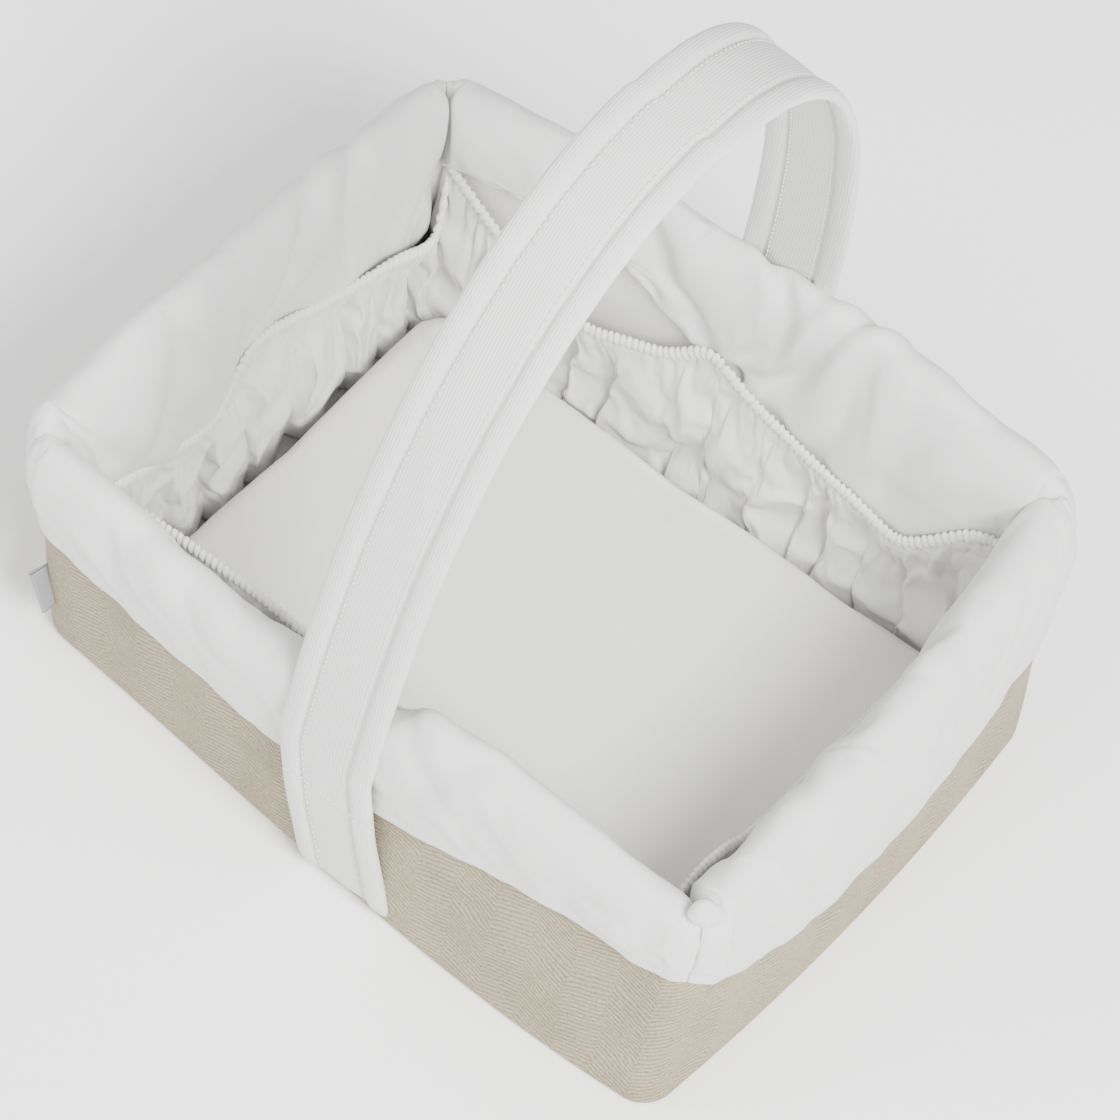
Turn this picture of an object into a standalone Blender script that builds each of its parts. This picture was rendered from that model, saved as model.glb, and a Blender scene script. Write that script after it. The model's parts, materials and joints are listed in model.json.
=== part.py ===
"""Layette basket: a soft-walled tray with a padded cuff over its rim, gathered pockets round
the inside, a loose floor pad and a webbing handle.

Run it with  blender --background --python part.py  or from Blender's text editor.
Units are metres and +Z is up. The origin is at the middle of the basket's base. +X is the
long way of the basket and +Y the short way, which the handle spans.
"""

from math import atan2, copysign, cos, exp, hypot, pi, radians, sin

import bmesh
import bpy
from mathutils import Vector

# Basket body, measured on the outside of the linen
BASE_LENGTH = 0.299
BASE_WIDTH = 0.2215
END_FLARE = 0.00065
SIDE_FLARE = 0.00335
WALL_HEIGHT = 0.121
CORNER_RADIUS = 0.014
LEAST_CORNER_RADIUS = 0.002

# Cloth and board
FIT_GAP = 0.0003
LINEN_CLOTH = 0.001
LINING_CLOTH = 0.001
WALL_BOARD = 0.004
BASE_BOARD = 0.0025

# Padded cuff rolled over the rim
CUFF_CLOTH = 0.001
CUFF_TOP = 0.133
CUFF_SPRING = 0.106
CUFF_STAND = 0.0058
CUFF_HEM_STAND = 0.003
CUFF_ROLL = 0.0185
CUFF_HEM = 0.041
CUFF_HEM_RISE = 0.028
CUFF_INNER_HEM = 0.081
CUFF_INNER_STAND = 0.0004
WADDING_LEG_STAND = 0.0009
WRINKLE_DEPTH = 0.0025

# Gathered pockets
POCKET_CLOTH = 0.001
POCKET_TOP = 0.069
POCKET_END_RISE = 0.003
POCKET_PAD_CLEARANCE = 0.0008
LONG_POCKET_FOLD = 0.0032
SHORT_POCKET_FOLD = 0.006
LONG_POCKET_START = 0.0015
LONG_POCKET_PAST_PAD = 0.003
SHORT_POCKET_PAST_PAD = 0.001
POCKET_END_TURN = 0.012
ELASTIC_HEIGHT = 0.003
ELASTIC_THICKNESS = 0.0022

# Floor pad
PAD_END_ROOM = 0.0179
PAD_SIDE_ROOM = 0.01115
PAD_CORNER_RADIUS = 0.012
PAD_BOARD = 0.002
PAD_EDGE = 0.022
PAD_CROWN = 0.0025
PAD_ROLL = 0.006
PAD_UNDERCUT = 0.002
PAD_DRAW_IN = 0.0014
PAD_CORNER_STEP_COUNT = 3
PAD_CROWN_STEEPNESS = 3
PAD_CORNER_POWER = 8

# Handle strap
STRAP_WIDTH = 0.042
STRAP_CORE = 0.0016
STRAP_FACE = 0.0014
STRAP_STAND = 0.0121
STRAP_HINGE_HEIGHT = 0.0825
STRAP_RISE = 0.265
STRAP_POWER = 2.25
STRAP_LEAN = radians(5.0)

# Blank folded label tab
TAB_REACH = 0.0055
TAB_HEIGHT = 0.022
TAB_CLOTH = 0.0005
TAB_FOLD_RADIUS = 0.0008
TAB_MIDDLE_HEIGHT = 0.033
TAB_FROM_CORNER = 0.016

# How finely the soft shapes are divided
CORNER_COLUMN_COUNT = 2
CUFF_COLUMN_COUNT = 14
BOARD_COLUMN_COUNT = 4
WADDING_COLUMN_COUNT = 4
CUFF_LEG_ROW_COUNT = 2
CUFF_CROWN_ROW_COUNT = 6
CUFF_INNER_ROW_COUNT = 3
LONG_POCKET_COLUMN_COUNT = 24
SHORT_POCKET_COLUMN_COUNT = 34
POCKET_ROW_COUNT = 4
LONG_POCKET_FOLD_COUNT = 4
SHORT_POCKET_FOLD_COUNT = 6
PAD_COLUMN_COUNT = 12
PAD_ROW_COUNT = 10
ARCH_COLUMN_COUNT = 30
ROUND_END_COLUMN_COUNT = 3
STRAP_END_COLUMN_COUNT = 5
TAB_COLUMN_COUNT = 8

# Creases of each cuff: place along the wall, slant, width and depth, all as shares
CREASE_SHARES = {
    "left": ((-0.72, 0.30, 0.10, 0.8), (-0.10, 0.35, 0.12, 1.0), (0.45, -0.25, 0.13, 0.9)),
    "back": ((-0.25, -0.20, 0.10, 0.7), (0.15, 0.18, 0.08, 1.0), (0.45, 0.22, 0.10, 0.9)),
    "front": ((-0.62, 0.20, 0.12, 0.7), (0.18, -0.15, 0.10, 0.9)),
    "right": ((-0.35, 0.20, 0.14, 0.6), (0.60, -0.20, 0.12, 0.8)),
}

# Strap face across its width: place and thickness, both as shares
STRAP_PROFILE_SHARES = (
    (-1.0, 0.45),
    (-0.86, 1.0),
    (-0.58, 0.9),
    (-0.50, 0.4),
    (-0.42, 0.65),
    (0.42, 0.65),
    (0.50, 0.4),
    (0.58, 0.9),
    (0.86, 1.0),
    (1.0, 0.45),
)
ROUND_END_SHARE = 0.84
WRINKLE_START_SHARE = 1.2
WADDING_START_SHARE = 0.25
WADDING_END_SHARE = 2.5
SADDLE_SHARE = 0.5
PAD_WAIST_SHARE = 0.5
FOLD_TOP_SHARE = 0.35
FOLD_LEAN_SHARE = 0.35
ELASTIC_EDGE_SHARE = 0.6
SECTION_STEP_SHARE = 0.001

# Sizes that follow
TOP_LENGTH = BASE_LENGTH + 2 * END_FLARE
TOP_WIDTH = BASE_WIDTH + 2 * SIDE_FLARE
WALL_STACK = LINEN_CLOTH + WALL_BOARD + LINING_CLOTH + 2 * FIT_GAP
BASE_BOARD_BOTTOM = LINEN_CLOTH + FIT_GAP
INNER_FLOOR = BASE_BOARD_BOTTOM + BASE_BOARD + FIT_GAP
PAD_BOTTOM = INNER_FLOOR + LINING_CLOTH + FIT_GAP
STRAP_LAYER_STEP = STRAP_CORE / 2 + FIT_GAP
STRAP_THICKNESS = 2 * (STRAP_LAYER_STEP + STRAP_FACE)
STRAP_HALF_SPAN = TOP_WIDTH / 2 + STRAP_STAND
PAD_LENGTH = BASE_LENGTH - 2 * (WALL_STACK + PAD_END_ROOM)
PAD_WIDTH = BASE_WIDTH - 2 * (WALL_STACK + PAD_SIDE_ROOM)
LONG_POCKET_END = PAD_LENGTH / 2 + LONG_POCKET_PAST_PAD
SHORT_POCKET_END = PAD_WIDTH / 2 + SHORT_POCKET_PAST_PAD

WHITE_COTTON = (0.86, 0.86, 0.85, 1.0)
SOFT_WHITE = (0.80, 0.80, 0.79, 1.0)
BEIGE_LINEN = (0.56, 0.50, 0.41, 1.0)
GREY_BOARD = (0.46, 0.44, 0.41, 1.0)
PALE_WADDING = (0.90, 0.90, 0.88, 1.0)
PALE_GREY = (0.55, 0.55, 0.56, 1.0)


def clear_scene():
    """Removes every object that the file opened with."""
    for item in list(bpy.data.objects):
        bpy.data.objects.remove(item, do_unlink=True)


def zone_stations(*counts):
    """Stations through zones 0 to 1, 1 to 2 and so on, each zone divided into its count."""
    stations = [zone + step / count for zone, count in enumerate(counts) for step in range(count)]
    return stations + [float(len(counts))]


def ease(share):
    """Rises smoothly from 0 to 1."""
    share = min(max(share, 0.0), 1.0)
    return (1 - cos(pi * share)) / 2


def mix(first, second, share):
    """Value between two others."""
    return first + (second - first) * share


def unit_slab(columns, rows):
    """Slab whose corners are counted off along X and Y, with its two layers at Z 0 and 1."""
    slab = bmesh.new()
    bmesh.ops.create_grid(slab, x_segments=columns, y_segments=rows, size=1)
    bmesh.ops.translate(slab, verts=slab.verts, vec=(1, 1, 0))
    bmesh.ops.scale(slab, verts=slab.verts, vec=(columns / 2, rows / 2, 1))
    raised = bmesh.ops.extrude_face_region(slab, geom=slab.faces[:], use_keep_orig=True)
    lifted = [item for item in raised["geom"] if isinstance(item, bmesh.types.BMVert)]
    bmesh.ops.translate(slab, verts=lifted, vec=(0, 0, 1))
    return slab


def place_slab(slab, place):
    """Moves each corner of a unit slab to where place(column, row, layer) says."""
    for vert in slab.verts:
        vert.co = place(round(vert.co.x), round(vert.co.y), round(vert.co.z))


def close_ring(slab, columns):
    """Opens the two ends of a unit slab, so that they can meet in a ring."""
    ends = [
        face
        for face in slab.faces
        if all(round(vert.co.x) == 0 for vert in face.verts)
        or all(round(vert.co.x) == columns for vert in face.verts)
    ]
    bmesh.ops.delete(slab, geom=ends, context="FACES_ONLY")


def finish_piece(shape, name, colour, roughness, parent=None, location=(0, 0, 0)):
    """Turns a bmesh into a named object with its own material."""
    bmesh.ops.recalc_face_normals(shape, faces=shape.faces[:])
    if shape.calc_volume(signed=True) < 0:
        bmesh.ops.reverse_faces(shape, faces=shape.faces[:])
    mesh = bpy.data.meshes.new(name)
    shape.to_mesh(mesh)
    shape.free()
    mesh.shade_smooth()
    mesh.set_sharp_from_angle(angle=radians(40))
    material = bpy.data.materials.new(name + "_finish")
    material.use_nodes = True
    surface = material.node_tree.nodes["Principled BSDF"]
    surface.inputs["Base Color"].default_value = colour
    surface.inputs["Roughness"].default_value = roughness
    surface.inputs["Metallic"].default_value = 0.0
    mesh.materials.append(material)
    piece = bpy.data.objects.new(name, mesh)
    bpy.context.collection.objects.link(piece)
    piece.parent = parent
    piece.location = location
    return piece


def wall_half(height):
    """Half the length and width over the linen at a height."""
    share = height / WALL_HEIGHT
    return mix(BASE_LENGTH, TOP_LENGTH, share) / 2, mix(BASE_WIDTH, TOP_WIDTH, share) / 2


def turn_to_side(side, along, across, height):
    """Point from its place along a wall and its distance out from the middle."""
    if side == "front":
        return Vector((along, -across, height))
    if side == "back":
        return Vector((-along, across, height))
    if side == "left":
        return Vector((-across, -along, height))
    return Vector((across, along, height))


def side_point(side, station, offset, height, mitre_gap=0.0):
    """Point beside a wall. The offset counts outward from the linen. The station runs from
    -1 to 1 along the straight of the wall and on to -2 and 2 at the middle of its corners."""
    half_length, half_width = wall_half(height)
    reach, edge = (half_length, half_width) if side in ("front", "back") else (half_width, half_length)
    reach += offset
    edge += offset
    radius = max(CORNER_RADIUS + offset, LEAST_CORNER_RADIUS)
    along = min(abs(station), 1) * (reach - radius)
    across = edge
    if abs(station) > 1:
        angle = (abs(station) - 1) * pi / 4
        along = reach - radius + radius * sin(angle)
        across = edge - radius + radius * cos(angle)
    along *= 1 - mitre_gap / reach
    return turn_to_side(side, copysign(along, station), across, height)


SIDES = ("front", "right", "back", "left")


def ring_point(column, offset, height):
    """Point on a loop round the basket, counted off in columns of 2 x corner + 1 straight."""
    per_side = 2 * CORNER_COLUMN_COUNT + 1
    side = SIDES[(column // per_side) % len(SIDES)]
    step = column % per_side
    if step <= CORNER_COLUMN_COUNT:
        station = -2 + step / CORNER_COLUMN_COUNT
    else:
        station = 1 + (step - CORNER_COLUMN_COUNT - 1) / CORNER_COLUMN_COUNT
    return side_point(side, station, offset, height)


def make_band(name, outer_offset, thickness, bottom, top, colour, roughness):
    """Makes cloth that runs all round the walls with rounded corners and no seam."""
    columns = len(SIDES) * (2 * CORNER_COLUMN_COUNT + 1)
    slab = unit_slab(columns, 1)
    close_ring(slab, columns)
    heights = (bottom, top)

    def place(column, row, layer):
        return ring_point(column, outer_offset - layer * thickness, heights[row])

    place_slab(slab, place)
    bmesh.ops.remove_doubles(slab, verts=slab.verts[:], dist=FIT_GAP / 3)
    return finish_piece(slab, name, colour, roughness)


def make_plate(name, offset, bottom, thickness, colour, roughness):
    """Makes a flat panel that fills the basket's outline at an offset from the linen."""
    columns = len(SIDES) * (2 * CORNER_COLUMN_COUNT + 1)
    shape = bmesh.new()
    corners = [shape.verts.new(ring_point(column, offset, bottom)) for column in range(columns)]
    bmesh.ops.remove_doubles(shape, verts=corners, dist=FIT_GAP / 3)
    shape.faces.new(shape.verts[:])
    raised = bmesh.ops.extrude_face_region(shape, geom=shape.faces[:], use_keep_orig=True)
    lifted = [item for item in raised["geom"] if isinstance(item, bmesh.types.BMVert)]
    bmesh.ops.translate(shape, verts=lifted, vec=(0, 0, thickness))
    return finish_piece(shape, name, colour, roughness)


def make_wall_board(side):
    """Makes the stiff board inside one wall. It stops where the corner starts to turn."""
    slab = unit_slab(BOARD_COLUMN_COUNT, 1)
    outer = -(LINEN_CLOTH + FIT_GAP)
    heights = (INNER_FLOOR, WALL_HEIGHT)

    def place(column, row, layer):
        station = mix(-1, 1, column / BOARD_COLUMN_COUNT)
        return side_point(side, station, outer - layer * WALL_BOARD, heights[row], FIT_GAP)

    place_slab(slab, place)
    return finish_piece(slab, "wall_board_" + side, GREY_BOARD, 0.8)


def cuff_hem(station):
    """Height of the cuff's outer hem, which lifts towards the corners."""
    return CUFF_HEM + CUFF_HEM_RISE * (abs(station) / 2) ** 2


def cuff_curve(share, hem):
    """Offset and height of the cuff's surface: 0 to 1 up the outside, 1 to 2 over the crown
    and 2 to 3 down the inside."""
    inner_edge = -(WALL_STACK + FIT_GAP + CUFF_CLOTH + CUFF_INNER_STAND)
    if share < 1:
        return mix(CUFF_HEM_STAND, CUFF_STAND, ease(share)), mix(hem, CUFF_SPRING, share)
    if share <= 2:
        angle = (share - 1) * pi
        middle = (CUFF_STAND - CUFF_ROLL) / 2
        half = (CUFF_STAND + CUFF_ROLL) / 2
        return middle + half * cos(angle), CUFF_SPRING + (CUFF_TOP - CUFF_SPRING) * sin(angle)
    return mix(-CUFF_ROLL, inner_edge, ease(share - 2)), mix(CUFF_SPRING, CUFF_INNER_HEM, share - 2)


def cuff_section(share, depth, hem):
    """Offset and height of a point that lies a depth under the cuff's surface."""
    before = cuff_curve(share - SECTION_STEP_SHARE, hem)
    after = cuff_curve(share + SECTION_STEP_SHARE, hem)
    across = after[0] - before[0]
    rise = after[1] - before[1]
    length = hypot(across, rise)
    offset, height = cuff_curve(share, hem)
    return offset - depth * rise / length, height + depth * across / length


def wrinkle_room(share):
    """How much of the wrinkle depth there is room for at a share of the cuff's section."""
    if share <= WRINKLE_START_SHARE:
        return 0.0
    return sin(pi * (share - WRINKLE_START_SHARE) / (3 - WRINKLE_START_SHARE)) ** 2


def wrinkle_depth(side, station, share):
    """How far the cuff's creases pull its surface in."""
    depth = 0.0
    for place, slant, width, deep in CREASE_SHARES[side]:
        away = (station - place - slant * (share - 2)) / width
        depth = max(depth, deep * exp(-away * away))
    return WRINKLE_DEPTH * depth * wrinkle_room(share)


def along_stations(middle_columns):
    """Stations from corner to corner along one wall."""
    corner = [step / CORNER_COLUMN_COUNT for step in range(CORNER_COLUMN_COUNT)]
    straight = [mix(-1, 1, step / middle_columns) for step in range(middle_columns + 1)]
    return [-2 + step for step in corner] + straight + [2 - step for step in reversed(corner)]


def cuff_rows():
    """Shares of the cuff's section, hem to hem."""
    return zone_stations(CUFF_LEG_ROW_COUNT, CUFF_CROWN_ROW_COUNT, CUFF_INNER_ROW_COUNT)


def make_cuff(side):
    """Makes the padded cotton panel that rolls over one wall, mitred at the corner seams."""
    stations = along_stations(CUFF_COLUMN_COUNT)
    shares = cuff_rows()
    slab = unit_slab(len(stations) - 1, len(shares) - 1)

    def place(column, row, layer):
        station = stations[column]
        share = shares[row]
        depth = layer * CUFF_CLOTH + wrinkle_depth(side, station, share)
        offset, height = cuff_section(share, depth, cuff_hem(station))
        return side_point(side, station, offset, height, FIT_GAP)

    place_slab(slab, place)
    return finish_piece(slab, "cuff_" + side, WHITE_COTTON, 0.85)


def wadding_inside(share, height):
    """Offset and height of the wadding's inner face, which saddles the wall's top."""
    middle = -WALL_STACK / 2
    half = WALL_STACK / 2 + FIT_GAP + WADDING_LEG_STAND
    rise = (WALL_HEIGHT + CUFF_TOP - CUFF_CLOTH) / 2 + FIT_GAP - CUFF_SPRING
    if 1 < share < 2:
        angle = (share - 1) * pi
        across = copysign(abs(cos(angle)) ** SADDLE_SHARE, cos(angle))
        return middle + half * across, CUFF_SPRING + rise * sin(angle) ** SADDLE_SHARE
    return middle + copysign(half, 3 / 2 - share), height


def make_rim_wadding(side):
    """Makes the wadding between one wall's top and its cuff."""
    stations = along_stations(WADDING_COLUMN_COUNT)
    shares = [WADDING_START_SHARE]
    shares += [share for share in cuff_rows()[1:] if share < WADDING_END_SHARE]
    slab = unit_slab(len(stations) - 1, len(shares) - 1)

    def place(column, row, layer):
        station = stations[column]
        share = shares[row]
        depth = CUFF_CLOTH + FIT_GAP + WRINKLE_DEPTH * wrinkle_room(share)
        offset, height = cuff_section(share, depth, cuff_hem(station))
        if layer:
            offset, height = wadding_inside(share, height)
        return side_point(side, station, offset, height, 2 * FIT_GAP)

    place_slab(slab, place)
    return finish_piece(slab, "rim_wadding_" + side, PALE_WADDING, 0.95)


def lining_reach(side, height):
    """Distance from the middle of the basket to the lining's inner face."""
    half_length, half_width = wall_half(height)
    return (half_width if side in ("front", "back") else half_length) - WALL_STACK


def pocket_place(side, start, end, folds, fold_size, thickness):
    """Gives a function that finds a pocket's cloth at a share along it and up it. Its depth
    counts inward from the face that looks at the wall."""
    pad_reach = (PAD_WIDTH if side in ("front", "back") else PAD_LENGTH) / 2
    inner_limit = pad_reach + POCKET_PAD_CLEARANCE

    def place(share, up, depth, lift=0.0):
        top = POCKET_TOP + POCKET_END_RISE * (2 * share - 1) ** 4
        height = mix(PAD_BOTTOM, top, up) + lift
        turn = POCKET_END_TURN / abs(end - start)
        away = ease(min(share, 1 - share) / turn)
        swing = (1 + sin(2 * pi * (folds * share + FOLD_LEAN_SHARE * up))) / 2
        fold = fold_size * mix(1, FOLD_TOP_SHARE, up) * swing
        open_place = inner_limit + thickness + fold
        shut_place = lining_reach(side, height) - FIT_GAP
        across = mix(shut_place, open_place, away) - depth
        return turn_to_side(side, mix(start, end, share), across, height)

    return place


def pocket_list():
    """Name, wall, start, end, folds, fold size and columns of each gathered pocket."""
    long_way = (LONG_POCKET_FOLD_COUNT, LONG_POCKET_FOLD, LONG_POCKET_COLUMN_COUNT)
    short_way = (SHORT_POCKET_FOLD_COUNT, SHORT_POCKET_FOLD, SHORT_POCKET_COLUMN_COUNT)
    pockets = [(side, side, -SHORT_POCKET_END, SHORT_POCKET_END) + short_way for side in ("left", "right")]
    for side, first, second in (("front", "left", "right"), ("back", "right", "left")):
        pockets.append((side + "_" + first, side, -LONG_POCKET_END, -LONG_POCKET_START) + long_way)
        pockets.append((side + "_" + second, side, LONG_POCKET_START, LONG_POCKET_END) + long_way)
    return pockets


def make_pocket(name, side, start, end, folds, fold_size, columns):
    """Makes one gathered pocket: a hanging cloth whose ends turn back to the wall."""
    place_cloth = pocket_place(side, start, end, folds, fold_size, POCKET_CLOTH)
    slab = unit_slab(columns, POCKET_ROW_COUNT)

    def place(column, row, layer):
        return place_cloth(column / columns, row / POCKET_ROW_COUNT, layer * POCKET_CLOTH)

    place_slab(slab, place)
    return finish_piece(slab, "pocket_" + name, SOFT_WHITE, 0.85)


def make_elastic(name, side, start, end, folds, fold_size, columns):
    """Makes the elastic hem that gathers one pocket's upper edge."""
    place_cloth = pocket_place(side, start, end, folds, fold_size, ELASTIC_THICKNESS)
    slab = unit_slab(columns, 2)

    def place(column, row, layer):
        thickness = ELASTIC_THICKNESS * (1 if row == 1 else ELASTIC_EDGE_SHARE)
        depth = ELASTIC_THICKNESS / 2 + (layer - 1 / 2) * thickness
        return place_cloth(column / columns, 1, depth, FIT_GAP + ELASTIC_HEIGHT * row / 2)

    place_slab(slab, place)
    return finish_piece(slab, "elastic_hem_" + name, WHITE_COTTON, 0.8)


def rounded_outline(length, width, radius, steps):
    """Corners of a rounded rectangle, anticlockwise."""
    points = []
    for quarter in range(4):
        middle_x = copysign(length / 2 - radius, (1, -1, -1, 1)[quarter])
        middle_y = copysign(width / 2 - radius, (1, 1, -1, -1)[quarter])
        for step in range(steps + 1):
            angle = (quarter + step / steps) * pi / 2
            points.append(Vector((middle_x + radius * cos(angle), middle_y + radius * sin(angle), 0)))
    return points


def make_pad_board():
    """Makes the stiff board under the floor pad."""
    shape = bmesh.new()
    length = PAD_LENGTH - 2 * PAD_DRAW_IN
    width = PAD_WIDTH - 2 * PAD_DRAW_IN
    outline = rounded_outline(length, width, PAD_CORNER_RADIUS, PAD_CORNER_STEP_COUNT)
    shape.faces.new([shape.verts.new(point) for point in outline])
    raised = bmesh.ops.extrude_face_region(shape, geom=shape.faces[:], use_keep_orig=True)
    lifted = [item for item in raised["geom"] if isinstance(item, bmesh.types.BMVert)]
    bmesh.ops.translate(shape, verts=lifted, vec=(0, 0, PAD_BOARD))
    return finish_piece(shape, "floor_pad_board", GREY_BOARD, 0.8, location=(0, 0, PAD_BOTTOM))


def pad_share(index, count, half):
    """Place of a grid line over the pad, -1 to 1. The outermost lines bound its rolled edge."""
    if index in (0, count):
        return copysign(1, index - 1)
    flat = 1 - PAD_ROLL / half
    return mix(-flat, flat, (index - 1) / (count - 2))


def make_pad_cushion():
    """Makes the padded floor pad: crowned, with rolled edges drawn in between its corners."""
    slab = unit_slab(PAD_COLUMN_COUNT, PAD_ROW_COUNT)

    def place(column, row, layer):
        along = pad_share(column, PAD_COLUMN_COUNT, PAD_LENGTH / 2)
        across = pad_share(row, PAD_ROW_COUNT, PAD_WIDTH / 2)
        on_edge = column in (0, PAD_COLUMN_COUNT) or row in (0, PAD_ROW_COUNT)
        squeeze = 1 - PAD_CORNER_RADIUS / PAD_LENGTH * (along * across) ** PAD_CORNER_POWER
        tuck = 0.0 if layer else PAD_UNDERCUT
        pull_x = PAD_DRAW_IN * (1 - across * across) + tuck
        pull_y = PAD_DRAW_IN * (1 - along * along) + tuck
        crown = PAD_CROWN * ease(PAD_CROWN_STEEPNESS * (1 - abs(along)))
        crown *= ease(PAD_CROWN_STEEPNESS * (1 - abs(across)))
        top = PAD_EDGE * PAD_WAIST_SHARE if on_edge else PAD_EDGE + crown
        return Vector((
            along * (PAD_LENGTH / 2 - pull_x) * squeeze,
            across * (PAD_WIDTH / 2 - pull_y) * squeeze,
            layer * top,
        ))

    place_slab(slab, place)
    bottom = PAD_BOTTOM + PAD_BOARD + FIT_GAP
    return finish_piece(slab, "floor_pad_cushion", SOFT_WHITE, 0.85, location=(0, 0, bottom))


def strap_frame(station):
    """Middle of the strap, the way it faces and half its width, measured from the hinge line.
    Stations -1 to 1 run over the arch, and on to -2 and 2 round the strap's lower ends."""
    if abs(station) > 1:
        angle = (abs(station) - 1) * ROUND_END_SHARE * pi / 2
        way = copysign(1, station)
        drop = STRAP_WIDTH / 2 * sin(angle)
        return way * STRAP_HALF_SPAN, -drop, way, 0.0, STRAP_WIDTH / 2 * cos(angle)
    angle = (1 - station) * pi / 2
    across = copysign(abs(cos(angle)) ** (2 / STRAP_POWER), cos(angle))
    rise = abs(sin(angle)) ** (2 / STRAP_POWER) if abs(station) < 1 else 0.0
    face_y = copysign(abs(across) ** (STRAP_POWER - 1), across) / STRAP_HALF_SPAN
    face_z = rise ** (STRAP_POWER - 1) / STRAP_RISE
    length = hypot(face_y, face_z)
    return (
        across * STRAP_HALF_SPAN,
        rise * STRAP_RISE,
        face_y / length,
        face_z / length,
        STRAP_WIDTH / 2,
    )


def arch_stations():
    """Stations from one round end over the arch to the other."""
    ends = [1 + step / ROUND_END_COLUMN_COUNT for step in range(1, ROUND_END_COLUMN_COUNT + 1)]
    arch = [mix(-1, 1, step / ARCH_COLUMN_COUNT) for step in range(ARCH_COLUMN_COUNT + 1)]
    return [-station for station in reversed(ends)] + arch + ends


def make_strap_layer(name, profile, inner, way, colour, roughness, pivot):
    """Makes one layer of the handle. The profile gives its thickness across the strap."""
    stations = arch_stations()
    slab = unit_slab(len(stations) - 1, len(profile) - 1)

    def place(column, row, layer):
        middle, height, face_y, face_z, half_width = strap_frame(stations[column])
        across_share, thickness = profile[row]
        out = way * (inner + layer * thickness)
        return Vector((across_share * half_width, middle + face_y * out, height + face_z * out))

    place_slab(slab, place)
    return finish_piece(slab, name, colour, roughness, parent=pivot)


def make_handle():
    """Makes the arch of the handle, three layers on one hinge line."""
    pivot = bpy.data.objects.new("handle_pivot", None)
    bpy.context.collection.objects.link(pivot)
    pivot.location = (0, 0, STRAP_HINGE_HEIGHT)
    pivot.rotation_euler = (0, STRAP_LEAN, 0)
    face = [(place, share * STRAP_FACE) for place, share in STRAP_PROFILE_SHARES]
    core = ((-1, STRAP_CORE), (1, STRAP_CORE))
    make_strap_layer("handle_webbing", core, -STRAP_CORE / 2, 1, SOFT_WHITE, 0.9, pivot)
    make_strap_layer("handle_outer_face", face, STRAP_LAYER_STEP, 1, WHITE_COTTON, 0.8, pivot)
    make_strap_layer("handle_inner_face", face, STRAP_LAYER_STEP, -1, WHITE_COTTON, 0.8, pivot)


def make_strap_end(name, way):
    """Makes the sewn end of the strap, from the base up to where the handle starts to bend."""
    profile = [(place, share * STRAP_FACE) for place, share in STRAP_PROFILE_SHARES]
    bottom_reach = BASE_WIDTH / 2 + FIT_GAP + STRAP_THICKNESS / 2
    top = STRAP_HINGE_HEIGHT - STRAP_WIDTH / 2 - FIT_GAP
    slope = atan2(STRAP_HALF_SPAN - bottom_reach, top)
    slab = unit_slab(STRAP_END_COLUMN_COUNT, len(profile) - 1)

    def place(column, row, layer):
        across_share, thickness = profile[row]
        share = column / STRAP_END_COLUMN_COUNT
        out = (2 * layer - 1) * (STRAP_LAYER_STEP + thickness)
        middle = mix(bottom_reach, STRAP_HALF_SPAN, share)
        lean = out / cos(slope)
        return Vector((across_share * STRAP_WIDTH / 2, way * (middle + lean), top * share))

    place_slab(slab, place)
    return finish_piece(slab, name, WHITE_COTTON, 0.8)


def make_label_tab():
    """Makes the blank folded tab sewn to the left wall near the front corner."""
    half_length, half_width = wall_half(TAB_MIDDLE_HEIGHT)
    root = half_length + FIT_GAP
    straight = TAB_REACH - TAB_FOLD_RADIUS - TAB_CLOTH
    slab = unit_slab(TAB_COLUMN_COUNT, 1)

    def place(column, row, layer):
        radius = TAB_FOLD_RADIUS + layer * TAB_CLOTH
        height = TAB_MIDDLE_HEIGHT + (row - 1 / 2) * TAB_HEIGHT
        lean = wall_half(height)[0] - half_length
        if column in (0, TAB_COLUMN_COUNT):
            out = 0.0
            side = copysign(radius, column - 1)
        else:
            angle = ((column - 1) / (TAB_COLUMN_COUNT - 2) - 1 / 2) * pi
            out = straight + radius * cos(angle)
            side = radius * sin(angle)
        return Vector((-(root + lean + out), side + TAB_FROM_CORNER - half_width, height))

    place_slab(slab, place)
    return finish_piece(slab, "label_tab", PALE_GREY, 0.7)


def make_body():
    """Makes the linen shell, its boards and the lining."""
    lining_offset = LINING_CLOTH - WALL_STACK
    make_band("linen_side_band", 0.0, LINEN_CLOTH, 0.0, WALL_HEIGHT, BEIGE_LINEN, 0.9)
    make_plate("linen_base_panel", -LINEN_CLOTH - FIT_GAP, 0.0, LINEN_CLOTH, BEIGE_LINEN, 0.9)
    make_plate("base_board", -LINEN_CLOTH - FIT_GAP, BASE_BOARD_BOTTOM, BASE_BOARD, GREY_BOARD, 0.8)
    make_band("lining_walls", lining_offset, LINING_CLOTH, INNER_FLOOR, WALL_HEIGHT, SOFT_WHITE, 0.85)
    make_plate("lining_floor", -WALL_STACK - FIT_GAP, INNER_FLOOR, LINING_CLOTH, SOFT_WHITE, 0.85)


def main():
    """Builds the whole basket."""
    clear_scene()
    make_body()
    for side in SIDES:
        make_wall_board(side)
        make_rim_wadding(side)
        make_cuff(side)
    for pocket in pocket_list():
        make_pocket(*pocket)
        make_elastic(*pocket)
    make_pad_board()
    make_pad_cushion()
    make_handle()
    make_strap_end("handle_end_front", -1)
    make_strap_end("handle_end_back", 1)
    make_label_tab()


main()
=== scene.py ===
import json
from math import ceil, copysign, cos, exp, hypot, pi, radians, sin

import bmesh
import bpy
from bpy.props import FloatProperty, FloatVectorProperty, PointerProperty
from mathutils import Matrix, Vector, noise


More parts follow.
